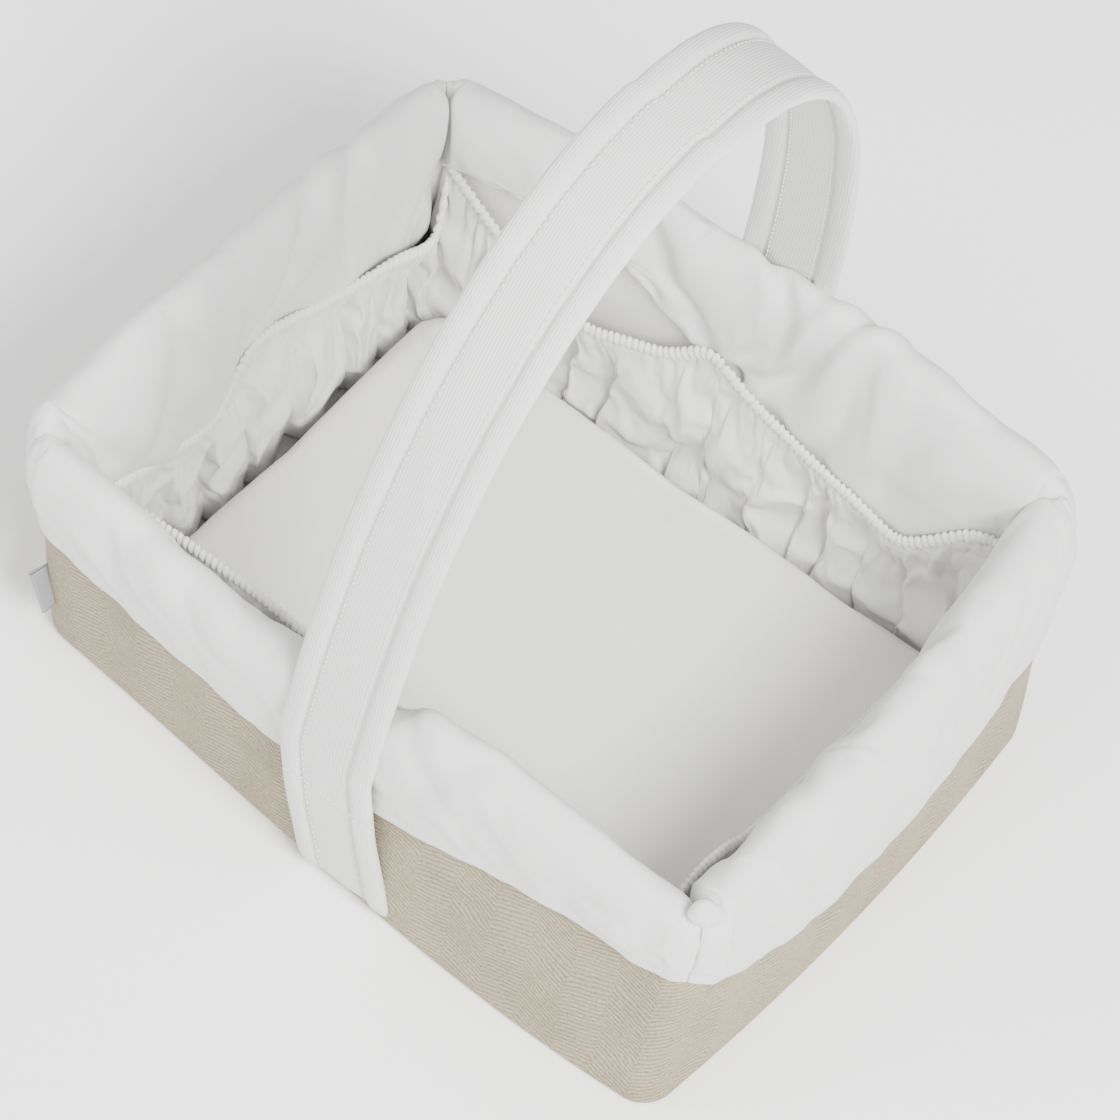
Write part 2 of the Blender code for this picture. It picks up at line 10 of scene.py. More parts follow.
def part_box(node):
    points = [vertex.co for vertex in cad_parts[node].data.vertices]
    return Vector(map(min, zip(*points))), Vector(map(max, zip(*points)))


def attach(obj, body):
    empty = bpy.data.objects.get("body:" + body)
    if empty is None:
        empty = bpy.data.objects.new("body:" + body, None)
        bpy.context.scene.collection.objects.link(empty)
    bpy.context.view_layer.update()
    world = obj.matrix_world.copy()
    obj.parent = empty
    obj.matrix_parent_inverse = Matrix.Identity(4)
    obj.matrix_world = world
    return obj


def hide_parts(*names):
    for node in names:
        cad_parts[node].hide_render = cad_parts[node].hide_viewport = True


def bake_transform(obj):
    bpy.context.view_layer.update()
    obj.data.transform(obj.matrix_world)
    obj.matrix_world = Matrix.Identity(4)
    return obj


bl_info = {
    "name": "Layette basket looks",
    "version": (1, 0, 0),
    "blender": (4, 5, 0),
    "location": "3D View > Sidebar > Basket",
    "description": "Dresses the layette basket in padded cotton, gathered pockets and herringbone linen",
    "category": "Add Mesh",
}

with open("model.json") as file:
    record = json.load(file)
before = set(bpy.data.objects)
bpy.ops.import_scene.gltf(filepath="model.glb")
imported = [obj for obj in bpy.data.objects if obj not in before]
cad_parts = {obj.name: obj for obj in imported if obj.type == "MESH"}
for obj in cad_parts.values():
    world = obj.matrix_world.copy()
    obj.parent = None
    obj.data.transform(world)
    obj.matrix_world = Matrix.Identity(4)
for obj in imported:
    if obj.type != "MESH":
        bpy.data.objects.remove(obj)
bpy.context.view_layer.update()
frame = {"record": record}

# Where the hard parts stand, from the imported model
LINEN_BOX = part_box("linen_side_band")
PANEL_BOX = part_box("linen_base_panel")
LINING_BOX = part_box("lining_walls")
PAD_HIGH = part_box("floor_pad_cushion")[1]
WALL_HEIGHT = LINEN_BOX[1].z
CLOTH = PANEL_BOX[1].z
# Clearance between pieces that only touch, and the linen's edge beside the base panel
FIT_GAP = 0.0003
PANEL_EDGE = CLOTH + FIT_GAP
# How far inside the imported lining's outer face the dressed wall ends
WALL_FILL = 0.0050
HINGE_HEIGHT = frame["record"]["behaviour"]["joints"][0]["pos_m"][2]

# The walls in their order round the basket, and the two long ones
SIDES = ("front", "right", "back", "left")
LONG_SIDES = ("front", "back")


# Settings


def length_prop(name, description, default):
    """Setting for a size."""
    return FloatProperty(name=name, description=description, default=default, unit="LENGTH")


def angle_prop(name, description, degrees):
    """Setting for an angle."""
    return FloatProperty(name=name, description=description, default=radians(degrees), subtype="ANGLE")


def number_prop(name, description, default, **limits):
    """Setting for a plain number."""
    return FloatProperty(name=name, description=description, default=default, **limits)


def colour_prop(name, description, *default):
    """Setting for a colour."""
    return FloatVectorProperty(
        name=name, description=description, default=(*default, 1), subtype="COLOR", size=4, min=0, max=1,
    )


class BodySizes(bpy.types.PropertyGroup):
    """Sizes of the linen body and its lining."""

    top_length: length_prop("Top length", "Length over the linen at the top of the walls", 2 * LINEN_BOX[1].x)
    top_width: length_prop("Top width", "Width over the linen at the top of the walls", 2 * LINEN_BOX[1].y)
    base_length: length_prop("Base length", "Length over the linen at the base", 2 * (PANEL_BOX[1].x + PANEL_EDGE))
    base_width: length_prop("Base width", "Width over the linen at the base", 2 * (PANEL_BOX[1].y + PANEL_EDGE))
    corner_radius: length_prop("Corner radius", "Radius of the upright corners over the linen", 0.014)
    stack: length_prop("Wall thickness", "Linen, board and lining", LINEN_BOX[1].x - LINING_BOX[1].x + WALL_FILL)


class CuffSizes(bpy.types.PropertyGroup):
    """Sizes of the padded cuff over the rim."""

    top: length_prop("Top", "Height of the cuff's crown", 0.1325)
    spring: length_prop("Spring", "Height where the crown starts to turn", 0.108)
    stand: length_prop("Stand", "How far the cuff stands out from the linen", 0.0052)
    hem_stand: length_prop("Hem stand", "How far the outer hem stands out", 0.0024)
    roll: length_prop("Roll", "How far the crown reaches in from the linen", 0.0185)
    swell: number_prop("Swell", "How much spare cloth the cuff has, as a share", 0.022, min=0, max=0.2)
    pressure: number_prop("Pressure", "How hard the wadding pushes the cloth out", 1.2, min=0)


class PocketSizes(bpy.types.PropertyGroup):
    """Sizes of the gathered pockets."""

    gather_pitch: length_prop("Gather pitch", "Distance between the threads over the elastic", 0.0026)
    elastic_height: length_prop("Elastic height", "Height of the gathered elastic edge", 0.0062)
    elastic_depth: length_prop("Elastic depth", "Depth of the gathered elastic edge", 0.0034)
    swell: number_prop("Swell", "How much spare cloth the pockets have, as a share", 0.06, min=0, max=0.3)


class PadSizes(bpy.types.PropertyGroup):
    """Sizes of the loose floor pad."""

    edge_radius: length_prop("Edge radius", "Radius of the pad's long edges", 0.007)
    crown: length_prop("Crown", "How far the middle rises over the edges", 0.0016)


class StrapSizes(bpy.types.PropertyGroup):
    """Sizes of the handle strap."""

    width: length_prop("Width", "Width of the strap", 0.0412)
    edge: length_prop("Edge", "Thickness of the padded folded edges", 0.0050)
    half_span: length_prop("Half span", "From the middle of the basket to the strap's foot", 0.1240)
    rise: length_prop("Rise", "Height of the arch over the hinge line", 0.2685)
    lean: angle_prop("Lean", "How far the strap leans to the right at rest", 5.0)
    stitch_pitch: length_prop("Stitch pitch", "Distance from stitch to stitch", 0.0031)


class Finishes(bpy.types.PropertyGroup):
    """Colours of the cloths."""

    # The linen's dark colour serves both its darker specks and mottle and the painted shade in the grooves between
    # its ribs
    linen_light: colour_prop("Linen light", "Raised threads of the linen", 0.435, 0.366, 0.242)
    linen_dark: colour_prop("Linen dark", "Sunk threads of the linen", 0.18, 0.145, 0.090)
    cotton: colour_prop("Cotton", "White cotton of the cuff, the pockets and the strap", 0.690, 0.685, 0.675)
    lining: colour_prop("Lining", "Cotton of the lining and the pad", 0.685, 0.675, 0.66)
    thread: colour_prop("Thread", "Sewing thread", 0.76, 0.755, 0.74)
    satin: colour_prop("Satin", "Blank satin of the side tab", 0.25, 0.255, 0.265)
    board: colour_prop("Board", "Grey fibre board inside the walls", 0.46, 0.44, 0.41)


class StageSettings(bpy.types.PropertyGroup):
    """Camera, light and floor."""

    azimuth: angle_prop("Azimuth", "Turn of the camera round the basket", 31.97)
    elevation: angle_prop("Elevation", "Camera's angle above the floor", 54.85)
    roll: angle_prop("Roll", "Camera's tilt about its own line of sight", 8.83)
    distance: length_prop("Distance", "Camera to the middle of the basket", 3.0)
    focal: number_prop("Focal length", "In widths of the picture", 7.452, min=0.1)
    shift_x: number_prop("Shift across", "In widths of the picture", 0.0127)
    shift_y: number_prop("Shift up", "In widths of the picture", 0.0198)


class BasketSettings(bpy.types.PropertyGroup):
    """Everything that a user may change."""

    body: PointerProperty(type=BodySizes, name="Body", description="Linen body and lining")
    cuff: PointerProperty(type=CuffSizes, name="Cuff", description="Padded cuff")
    pocket: PointerProperty(type=PocketSizes, name="Pockets", description="Gathered pockets")
    pad: PointerProperty(type=PadSizes, name="Pad", description="Floor pad")
    strap: PointerProperty(type=StrapSizes, name="Strap", description="Handle strap")
    finish: PointerProperty(type=Finishes, name="Finishes", description="Colours")
    stage: PointerProperty(type=StageSettings, name="Stage", description="Camera, light and floor")


def settings():
    """The basket's settings in this scene."""
    return bpy.context.scene.basket


# Curves and small sums


def mix(first, second, share):
    """Value between two others."""
    return first + (second - first) * share


def clamp(value, low=0.0, high=1.0):
    """Value held between two limits."""
    return min(max(value, low), high)


def ease(share):
    """Rises smoothly from 0 to 1."""
    return (1 - cos(pi * clamp(share))) / 2


def hill(distance, width):
    """1 at no distance, falling smoothly away."""
    return exp(-(distance / width) ** 2)


def rough(x, y, z=0.0):
    """Smooth noise between about -1 and 1."""
    return noise.noise(Vector((x, y, z)))


def along_points(points, place):
    """Height at a place on a smooth line through (place, height) points."""
    if place <= points[0][0]:
        return points[0][1]
    if place >= points[-1][0]:
        return points[-1][1]
    number = next(index for index, point in enumerate(points) if place <= point[0])
    (start, low), (end, high) = points[number - 1], points[number]
    before = points[max(number - 2, 0)]
    after = points[min(number + 1, len(points) - 1)]
    run = end - start
    share = (place - start) / run
    low_slope = (high - before[1]) / (end - before[0])
    high_slope = (after[1] - low) / (after[0] - start)
    rising = 3 * share ** 2 - 2 * share ** 3
    leaving = (share ** 3 - 2 * share ** 2 + share) * run * low_slope
    arriving = (share ** 3 - share ** 2) * run * high_slope
    return mix(low, high, rising) + leaving + arriving


# The soft body

# How far each corner of the soft body has settled out of square, at the rim and at the base: front
# and back on the left, then front and back on the right, each across and then along the depth
RIM_SETTLE = (
    ((-0.0016, -0.0023), (0.0033, -0.0029)),
    ((0.0050, 0.0034), (-0.0069, 0.0048)),
)
BASE_SETTLE = (
    ((0.0005, 0.0072), (0.0, 0.0)),
    ((0.0009, -0.0090), (-0.0009, -0.0023)),
)
# How far each wall bows out in its middle, at the base and at the rim
WALL_BOW = {
    "front": (0.0050, 0.0043),
    "right": (0.0046, 0.0052),
    "back": (0.0020, 0.0066),
    "left": (0.0015, 0.0023),
}
# How much further the front wall's base bows out toward its right half than toward its left
BASE_SKEW = 0.8
# Height above which the rim rises or sags, and by what share along each wall
SAG_START = 0.080
RIM_SAG = {
    "front": (
        (-2.0, -0.09), (-1.0, -0.10), (-0.74, -0.19), (-0.57, -0.31), (-0.35, -0.35), (-0.18, -0.24),
        (0.07, -0.25), (0.2, -0.01), (0.32, 0.01), (0.45, 0.03), (0.57, -0.04), (0.71, -0.10), (0.84, -0.20),
        (0.97, -0.29), (2.0, -0.28),
    ),
    "right": ((-2.0, -0.28), (-1.0, -0.20), (-0.5, -0.08), (0.0, -0.08), (0.5, -0.05), (2.0, -0.055)),
    "back": ((-2.0, -0.055), (-0.5, 0.093), (0.0, 0.087), (0.5, 0.037), (2.0, -0.031)),
    "left": ((-2.0, -0.031), (-0.5, 0.05), (0.0, 0.068), (0.5, 0.16), (2.0, -0.087)),
}
# How much of its full reach inward the cuff keeps along each wall
ROLL_SHARE = {
    "front": ((-2.0, -0.06), (2.0, -0.06)),
    "right": ((-2.0, 0.90), (2.0, 0.90)),
    "back": ((-2.0, 1.0), (2.0, 1.0)),
    "left": (
        (-2.0, 1.0), (-0.9, 1.15), (-0.5, 1.05), (-0.2, 1.0), (0.1, 1.15), (0.33, 1.45), (0.6, 1.25), (2.0, 1.0),
    ),
}


def at_corners(corners, axis, share_x, share_y):
    """One axis of the value between those at four corners."""
    left, right = (mix(front[axis], back[axis], share_y) for front, back in corners)
    return mix(left, right, share_x)


def settle(point):
    """Moves a point as the soft body has settled."""
    body = settings().body
    share_x = clamp(point.x / body.top_length + 0.5)
    share_y = clamp(point.y / body.top_width + 0.5)
    up = clamp(point.z / WALL_HEIGHT, 0.0, 1.1)
    moved = Vector(point)
    for axis in (0, 1):
        rim = at_corners(RIM_SETTLE, axis, share_x, share_y)
        base = at_corners(BASE_SETTLE, axis, share_x, share_y)
        moved[axis] += mix(base, rim, up)
    return moved


def half_sizes(height):
    """Half the length and width over the linen at a height."""
    body = settings().body
    share = height / WALL_HEIGHT
    return mix(body.base_length, body.top_length, share) / 2, mix(body.base_width, body.top_width, share) / 2


def turn_to_side(side, along, across, height):
    """Point from its place along a wall and its distance out from the middle."""
    if side == "front":
        return Vector((along, -across, height))
    if side == "back":
        return Vector((-along, across, height))
    if side == "left":
        return Vector((-across, -along, height))
    return Vector((across, along, height))


def side_point(side, station, offset, height, end_gap=0.0):
    """Point beside a wall. The offset counts outward from the linen. The station runs from -1 to 1
    along the straight of the wall and on to -2 and 2 at the middle of its corners."""
    half_length, half_width = half_sizes(height)
    reach, edge = (half_length, half_width) if side in LONG_SIDES else (half_width, half_length)
    reach += offset
    base_bow, rim_bow = WALL_BOW[side]
    middle = clamp(station, -1, 1)
    base_bow *= 1 + BASE_SKEW * middle if side == "front" else 1
    edge += offset + (1 - middle ** 2) * mix(base_bow, rim_bow, clamp(height / WALL_HEIGHT))
    radius = max(settings().body.corner_radius + offset, 0.002)
    along = min(abs(station), 1) * (reach - radius)
    across = edge
    if abs(station) > 1:
        angle = (abs(station) - 1) * pi / 4
        along = reach - radius + radius * sin(angle)
        across = edge - radius + radius * cos(angle)
    along -= end_gap * clamp(abs(station) - 1) ** 2 / 2
    return turn_to_side(side, copysign(along, station), across, height)


def side_reach(side):
    """Half the straight stretch of a wall, and the length of half a corner, over the linen."""
    body = settings().body
    length = body.base_length if side in LONG_SIDES else body.base_width
    return length / 2 - body.corner_radius, body.corner_radius * pi / 4


def stations(straight, corner):
    """Stations from corner to corner along one wall."""
    before = [-2 + step / corner for step in range(corner)]
    middle = [mix(-1, 1, step / straight) for step in range(straight + 1)]
    return before + middle + [-station for station in reversed(before)]


def station_length(side, station):
    """Distance along the linen from the middle of a wall to a station."""
    straight, corner = side_reach(side)
    length = min(abs(station), 1) * straight + max(abs(station) - 1, 0) * corner
    return copysign(length, station)


# Making and finishing pieces


def cloth_grid(columns, rows, place, weave, flip=False):
    """Grid of cloth. place(column, row) gives each corner and weave(column, row) its place in the
    weave, in metres. Corners that land together are joined."""
    cloth = bmesh.new()
    bmesh.ops.create_grid(cloth, x_segments=columns, y_segments=rows, size=1)
    bmesh.ops.translate(cloth, verts=cloth.verts, vec=(1, 1, 0))
    bmesh.ops.scale(cloth, verts=cloth.verts, vec=(columns / 2, rows / 2, 1))
    layer = cloth.loops.layers.uv.new("weave")
    for face in cloth.faces:
        for loop in face.loops:
            loop[layer].uv = weave(round(loop.vert.co.x), round(loop.vert.co.y))
    for vert in cloth.verts:
        vert.co = place(round(vert.co.x), round(vert.co.y))
    bmesh.ops.remove_doubles(cloth, verts=cloth.verts, dist=1e-6)
    if flip:
        bmesh.ops.reverse_faces(cloth, faces=cloth.faces)
    return cloth


def close_ends(shape):
    """Closes the open ends of a form. The ends keep their outline when the form is smoothed."""
    crease = shape.edges.layers.float.new("crease_edge")
    ends = [edge for edge in shape.edges if edge.is_boundary]
    for edge in ends:
        edge[crease] = 1.0
    bmesh.ops.holes_fill(shape, edges=ends, sides=0)
    bmesh.ops.recalc_face_normals(shape, faces=shape.faces)


def add_piece(name, shape, material):
    """Turns a bmesh into a smooth object with the material of that name."""
    mesh = bpy.data.meshes.new(name)
    shape.to_mesh(mesh)
    shape.free()
    mesh.shade_smooth()
    mesh.materials.append(get_material(material))
    piece = bpy.data.objects.new(name, mesh)
    bpy.context.collection.objects.link(piece)
    return piece


def thicken(piece, thickness, offset=-1.0):
    """Gives a sheet its thickness."""
    solid = piece.modifiers.new("Thickness", "SOLIDIFY")
    solid.thickness = thickness
    solid.offset = offset


def round_off(piece, levels=1):
    """Smooths a piece by subdivision."""
    smooth = piece.modifiers.new("Smoothing", "SUBSURF")
    smooth.levels = levels
    smooth.render_levels = levels


# How stiff and heavy every cloth is, and how many frames it has to settle
CLOTH_NATURE = {
    "quality": 6,
    "mass": 0.15,
    "air_damping": 3.0,
    "tension_stiffness": 12,
    "compression_stiffness": 12,
    "shear_stiffness": 4,
    "bending_stiffness": 0.12,
    "pin_stiffness": 1.0,
}
CLOTH_FRAMES = 10


def cloth_settles(piece, free, swell, pressure, limit):
    """Lets a piece's cloth take its own folds: it grows by a share and is pushed out between its
    held points. free holds what is known of each point that may move, by its number, and
    limit(known, drawn, moved) keeps the point within reach."""
    vertices = piece.data.vertices
    group = piece.vertex_groups.new(name="held")
    group.add([index for index in range(len(vertices)) if index not in free], 1.0, "REPLACE")
    cloth = piece.modifiers.new("Cloth", "CLOTH")
    for name, value in CLOTH_NATURE.items():
        setattr(cloth.settings, name, value)
    cloth.settings.vertex_group_mass = "held"
    cloth.settings.shrink_min = -swell
    cloth.settings.use_pressure = pressure > 0
    cloth.settings.uniform_pressure_force = pressure
    cloth.settings.effector_weights.gravity = 0
    cloth.collision_settings.use_collision = False
    cloth.point_cache.frame_start = 1
    cloth.point_cache.frame_end = CLOTH_FRAMES
    for number in range(1, CLOTH_FRAMES + 1):
        bpy.context.scene.frame_set(number)
    settled = piece.evaluated_get(bpy.context.evaluated_depsgraph_get()).data.vertices
    places = {
        index: limit(known, vertices[index].co.copy(), settled[index].co.copy()) for index, known in free.items()
    }
    piece.modifiers.remove(cloth)
    for index, co in places.items():
        vertices[index].co = co
    piece.vertex_groups.remove(group)
    bpy.context.scene.frame_set(1)


def within(drawn, moved, reach):
    """The moved point, kept within a distance of where it was drawn."""
    step = moved - drawn
    if step.length > reach:
        step *= reach / step.length
    return drawn + step


def key_of(point):
    """Key that finds a point again."""
    return round(point.x, 5), round(point.y, 5), round(point.z, 5)


def find_points(piece, places):
    """What is known of each point of a piece, by its number. places holds it under the key of the
    place where the point was drawn, and leaves out the held ones."""
    keys = ((index, key_of(vert.co)) for index, vert in enumerate(piece.data.vertices))
    return {index: places[key] for index, key in keys if key in places}


# Materials


def link(tree, value, socket):
    """Connects a socket to another or sets its value."""
    if isinstance(value, bpy.types.NodeSocket):
        tree.links.new(value, socket)
    else:
        socket.default_value = value


def calc(tree, operation, *values):
    """Math node and its result."""
    node = tree.nodes.new("ShaderNodeMath")
    node.operation = operation
    for value, socket in zip(values, node.inputs):
        link(tree, value, socket)
    return node.outputs[0]


def noise_node(tree, vector, scale, detail, roughness=0.5):
    """Noise texture and its value."""
    node = tree.nodes.new("ShaderNodeTexNoise")
    link(tree, vector, node.inputs["Vector"])
    link(tree, scale, node.inputs["Scale"])
    node.inputs["Detail"].default_value = detail
    node.inputs["Roughness"].default_value = roughness
    return node.outputs[0]


def new_group(name, numbers, *results):
    """Shader node group with a vector and named numbers going in, and named values coming out."""
    group = bpy.data.node_groups.new(name, "ShaderNodeTree")
    group.interface.new_socket(name="Vector", in_out="INPUT", socket_type="NodeSocketVector")
    for label, value in numbers.items():
        group.interface.new_socket(name=label, in_out="INPUT", socket_type="NodeSocketFloat").default_value = value
    for label in results:
        group.interface.new_socket(name=label, in_out="OUTPUT", socket_type="NodeSocketFloat")
    return group, group.nodes.new("NodeGroupInput").outputs, group.nodes.new("NodeGroupOutput").inputs


def separate(tree, vector):
    """X, Y and Z of a vector."""
    node = tree.nodes.new("ShaderNodeSeparateXYZ")
    link(tree, vector, node.inputs[0])
    return node.outputs


def wave(tree, value):
    """Smooth wave from 0 to 1 with a period of 1."""
    turned = calc(tree, "SINE", calc(tree, "MULTIPLY", value, 2 * pi))
    return calc(tree, "MULTIPLY_ADD", turned, 0.5, 0.5)


def herringbone_group():
    """Herringbone: ribs that run up and down in turn from column to column."""
    wander_scale, wander_reach, thread_pitch = 42.0, 0.0090, 0.00062
    sizes = {"Column width": 0.0125, "Rib pitch": 0.0023, "Slope": 0.9}
    tree, given, result = new_group("herringbone_weave", sizes, "Rib", "Thread", "Column")
    x, y, z = separate(tree, given["Vector"])
    wander = noise_node(tree, given["Vector"], wander_scale, 3.0)
    drift = calc(tree, "MULTIPLY_ADD", wander, wander_reach, -wander_reach / 2)
    across = calc(tree, "MULTIPLY_ADD", drift, 0.45, x)
    zigzag = calc(tree, "PINGPONG", across, given["Column width"])
    column = calc(tree, "FLOOR", calc(tree, "DIVIDE", across, given["Column width"]))
    parity = calc(tree, "PINGPONG", column, 1.0)
    climb = calc(tree, "MULTIPLY_ADD", zigzag, given["Slope"], calc(tree, "ADD", y, drift))
    turn = calc(tree, "MULTIPLY_ADD", parity, 0.5, calc(tree, "DIVIDE", climb, given["Rib pitch"]))
    link(tree, wave(tree, turn), result["Rib"])
    thread = calc(tree, "MAXIMUM", *(wave(tree, calc(tree, "DIVIDE", way, thread_pitch)) for way in (x, y)))
    slub = noise_node(tree, given["Vector"], 900.0, 3.0, 0.7)
    link(tree, calc(tree, "MULTIPLY", thread, slub), result["Thread"])
    link(tree, parity, result["Column"])
    return tree


def plain_weave_group():
    """Fine plain weave with uneven threads."""
    tree, given, result = new_group("plain_weave", {"Thread pitch": 0.00045}, "Height", "Mottle")
    x, y, z = separate(tree, given["Vector"])
    warp, weft = (wave(tree, calc(tree, "DIVIDE", way, given["Thread pitch"])) for way in (x, y))
    slub = noise_node(tree, given["Vector"], 700.0, 3.0, 0.65)
    link(tree, calc(tree, "MULTIPLY_ADD", calc(tree, "MULTIPLY", warp, weft), 0.6, slub), result["Height"])
    link(tree, noise_node(tree, given["Vector"], 26.0, 4.0, 0.6), result["Mottle"])
    return tree


def twill_group():
    """Ribs of a twill at an angle to the threads."""
    tree, given, result = new_group("twill_ribs", {"Rib pitch": 0.0011, "Lean": 1.0}, "Height", "Mottle")
    x, y, z = separate(tree, given["Vector"])
    leaned = calc(tree, "MULTIPLY_ADD", y, given["Lean"], x)
    rib = wave(tree, calc(tree, "DIVIDE", leaned, given["Rib pitch"]))
    slub = noise_node(tree, given["Vector"], 800.0, 3.0, 0.6)
    link(tree, calc(tree, "MULTIPLY_ADD", slub, 0.5, rib), result["Height"])
    link(tree, noise_node(tree, given["Vector"], 22.0, 4.0, 0.6), result["Mottle"])
    return tree


def thread_twist_group():
    """Twist of a sewing thread or the fuzz of a cut edge."""
    tree, given, result = new_group("thread_twist", {"Scale": 1500.0}, "Height")
    link(tree, noise_node(tree, given["Vector"], given["Scale"], 3.0, 0.7), result["Height"])
    return tree


GROUP_MAKERS = {
    "herringbone_weave": herringbone_group,
    "plain_weave": plain_weave_group,
    "twill_ribs": twill_group,
    "thread_twist": thread_twist_group,
}


def place_group(tree, name, vector, numbers):
    """Places a shared node group in a material, made the first time it is asked for."""
    group = bpy.data.node_groups.get(name) or GROUP_MAKERS[name]()
    node = tree.nodes.new("ShaderNodeGroup")
    node.node_tree = group
    link(tree, vector, node.inputs["Vector"])
    for label, value in numbers.items():
        node.inputs[label].default_value = value
    return node.outputs


def weave_vector(tree):
    """The piece's own weave coordinates."""
    node = tree.nodes.new("ShaderNodeUVMap")
    node.uv_map = "weave"
    return node.outputs[0]


def object_vector(tree):
    """Object coordinates."""
    return tree.nodes.new("ShaderNodeTexCoord").outputs["Object"]


def blend_colours(tree, share, first, second):
    """Colour between two others."""
    node = tree.nodes.new("ShaderNodeMix")
    node.data_type = "RGBA"
    link(tree, share, node.inputs[0])
    link(tree, first, node.inputs[6])
    link(tree, second, node.inputs[7])
    return node.outputs[2]


def map_range(tree, value, low, high):
    """Value from 0 to 1 brought between two others."""
    node = tree.nodes.new("ShaderNodeMapRange")
    link(tree, value, node.inputs["Value"])
    node.inputs["To Min"].default_value = low
    node.inputs["To Max"].default_value = high
    return node.outputs[0]


def raise_surface(tree, shader, height, strength, distance):
    """Feeds a height to the shader's normal."""
    node = tree.nodes.new("ShaderNodeBump")
    node.inputs["Strength"].default_value = strength
    node.inputs["Distance"].default_value = distance
    link(tree, height, node.inputs["Height"])
    tree.links.new(node.outputs[0], shader.inputs["Normal"])


def new_material(name, roughness, sheen, specular=0.25):
    """Cloth material with its shader."""
    material = bpy.data.materials.new(name)
    material.use_nodes = True
    shader = material.node_tree.nodes["Principled BSDF"]
    shader.inputs["Roughness"].default_value = roughness
    shader.inputs["Sheen Weight"].default_value = sheen
    shader.inputs["Sheen Roughness"].default_value = 0.5
    shader.inputs["Specular IOR Level"].default_value = specular
    return material, material.node_tree, shader


def darker(colour, share):
    """The same colour, less bright."""
    return (colour[0] * share, colour[1] * share, colour[2] * share, 1.0)


def make_linen(name):
    """Beige herringbone linen with slubby threads, and painted shade in the grooves between its ribs."""
    finish = settings().finish
    material, tree, shader = new_material(name, 0.9, 0.1)
    sizes = {"Column width": 0.0168, "Rib pitch": 0.0024, "Slope": 0.46}
    weave = place_group(tree, "herringbone_weave", weave_vector(tree), sizes)
    mottle = noise_node(tree, object_vector(tree), 45.0, 4.0, 0.6)
    # Painted shade: the grooves between the ribs are painted darker, darkest in their middle; the specks and
    # mottle are the linen's own uneven tone
    gap = calc(tree, "POWER", calc(tree, "SUBTRACT", 1.0, weave["Rib"]), 2.2)
    painted_groove_shade = calc(tree, "MULTIPLY", gap, calc(tree, "MULTIPLY_ADD", weave["Thread"], 1.2, 0.35))
    speck = noise_node(tree, weave_vector(tree), 750.0, 3.0, 0.8)
    share = calc(tree, "MULTIPLY_ADD", weave["Thread"], 0.55, 0.50)
    share = calc(tree, "MULTIPLY_ADD", calc(tree, "SUBTRACT", speck, 0.5), 2.4, share)
    share = calc(tree, "MULTIPLY_ADD", painted_groove_shade, -0.72, share)
    share = calc(tree, "MULTIPLY_ADD", calc(tree, "SUBTRACT", mottle, 0.5), 0.7, share)
    share = calc(tree, "MULTIPLY_ADD", weave["Column"], 0.05, share)
    colour = blend_colours(tree, share, tuple(finish.linen_dark), tuple(finish.linen_light))
    tree.links.new(colour, shader.inputs["Base Color"])
    height = calc(tree, "MULTIPLY_ADD", weave["Thread"], 0.45, weave["Rib"])
    raise_surface(tree, shader, height, 0.75, 0.0005)
    tree.links.new(map_range(tree, weave["Rib"], 0.97, 0.84), shader.inputs["Roughness"])
    return material


def make_cotton(name, colour, group, numbers, bump, distance):
    """Pale cotton, in a weave of its own, with faint mottling."""
    roughness, unevenness = 0.85, 0.06
    material, tree, shader = new_material(name, roughness, 0.12)
    weave = place_group(tree, group, weave_vector(tree), numbers)
    # The raised threads are painted a little lighter and the hollows between them darker, as painted shade; the
    # mottle is the cloth's own uneven tone
    share = calc(tree, "MULTIPLY_ADD", weave["Height"], 0.25, calc(tree, "MULTIPLY", weave["Mottle"], 0.75))
    shade = blend_colours(tree, share, darker(colour, 0.95), darker(colour, 1.03))
    tree.links.new(shade, shader.inputs["Base Color"])
    rougher = map_range(tree, weave["Height"], roughness + unevenness, roughness - unevenness)
    tree.links.new(rougher, shader.inputs["Roughness"])
    raise_surface(tree, shader, weave["Height"], bump, distance)
    return material


def make_small_material(name, colour, group, numbers, bump, distance, look):
    """Material of the small pieces. look holds its roughness, sheen and specular level, and how
    bright its sunk and raised places are."""
    roughness, sheen, specular, sunk, raised = look
    material, tree, shader = new_material(name, roughness, sheen, specular)
    vector = weave_vector(tree) if group == "plain_weave" else object_vector(tree)
    height = place_group(tree, group, vector, numbers)["Height"]
    # Painted shade: the sunk places of the weave or twist are painted darker and the raised ones lighter
    shade = blend_colours(tree, height, darker(colour, sunk), darker(colour, raised))
    tree.links.new(shade, shader.inputs["Base Color"])
    raise_surface(tree, shader, height, bump, distance)
    return material


# Colour, node group with its numbers, bump strength and bump depth of every material but the linen.
# The small ones end with their looks
MATERIALS = {
    "woven_cuff": ("cotton", "plain_weave", {}, 0.25, 0.00012),
    "woven_lining": ("lining", "plain_weave", {}, 0.3, 0.00012),
    "woven_pocket": ("cotton", "plain_weave", {}, 0.3, 0.00015),
    "pad_twill": ("lining", "twill_ribs", {"Rib pitch": 0.0012}, 0.35, 0.00015),
    "strap_twill": ("cotton", "twill_ribs", {"Rib pitch": 0.0012, "Lean": 0.05}, 0.55, 0.0003),
    # The last two numbers of each look paint the sunk places darker, as painted shade, and the raised ones lighter
    "sewing_thread": ("thread", "thread_twist", {}, 0.4, 0.0002, (0.7, 0.2, 0.25, 0.9, 1.0)),
    "blank_satin": ("satin", "plain_weave", {"Thread pitch": 0.0003}, 0.3, 0.0001, (0.5, 0.0, 0.5, 0.9, 1.08)),
    "fibre_board": ("board", "thread_twist", {"Scale": 350.0}, 0.3, 0.0003, (0.88, 0.0, 0.25, 0.8, 1.1)),
}
SMALL_MATERIALS = ("sewing_thread", "blank_satin", "fibre_board")


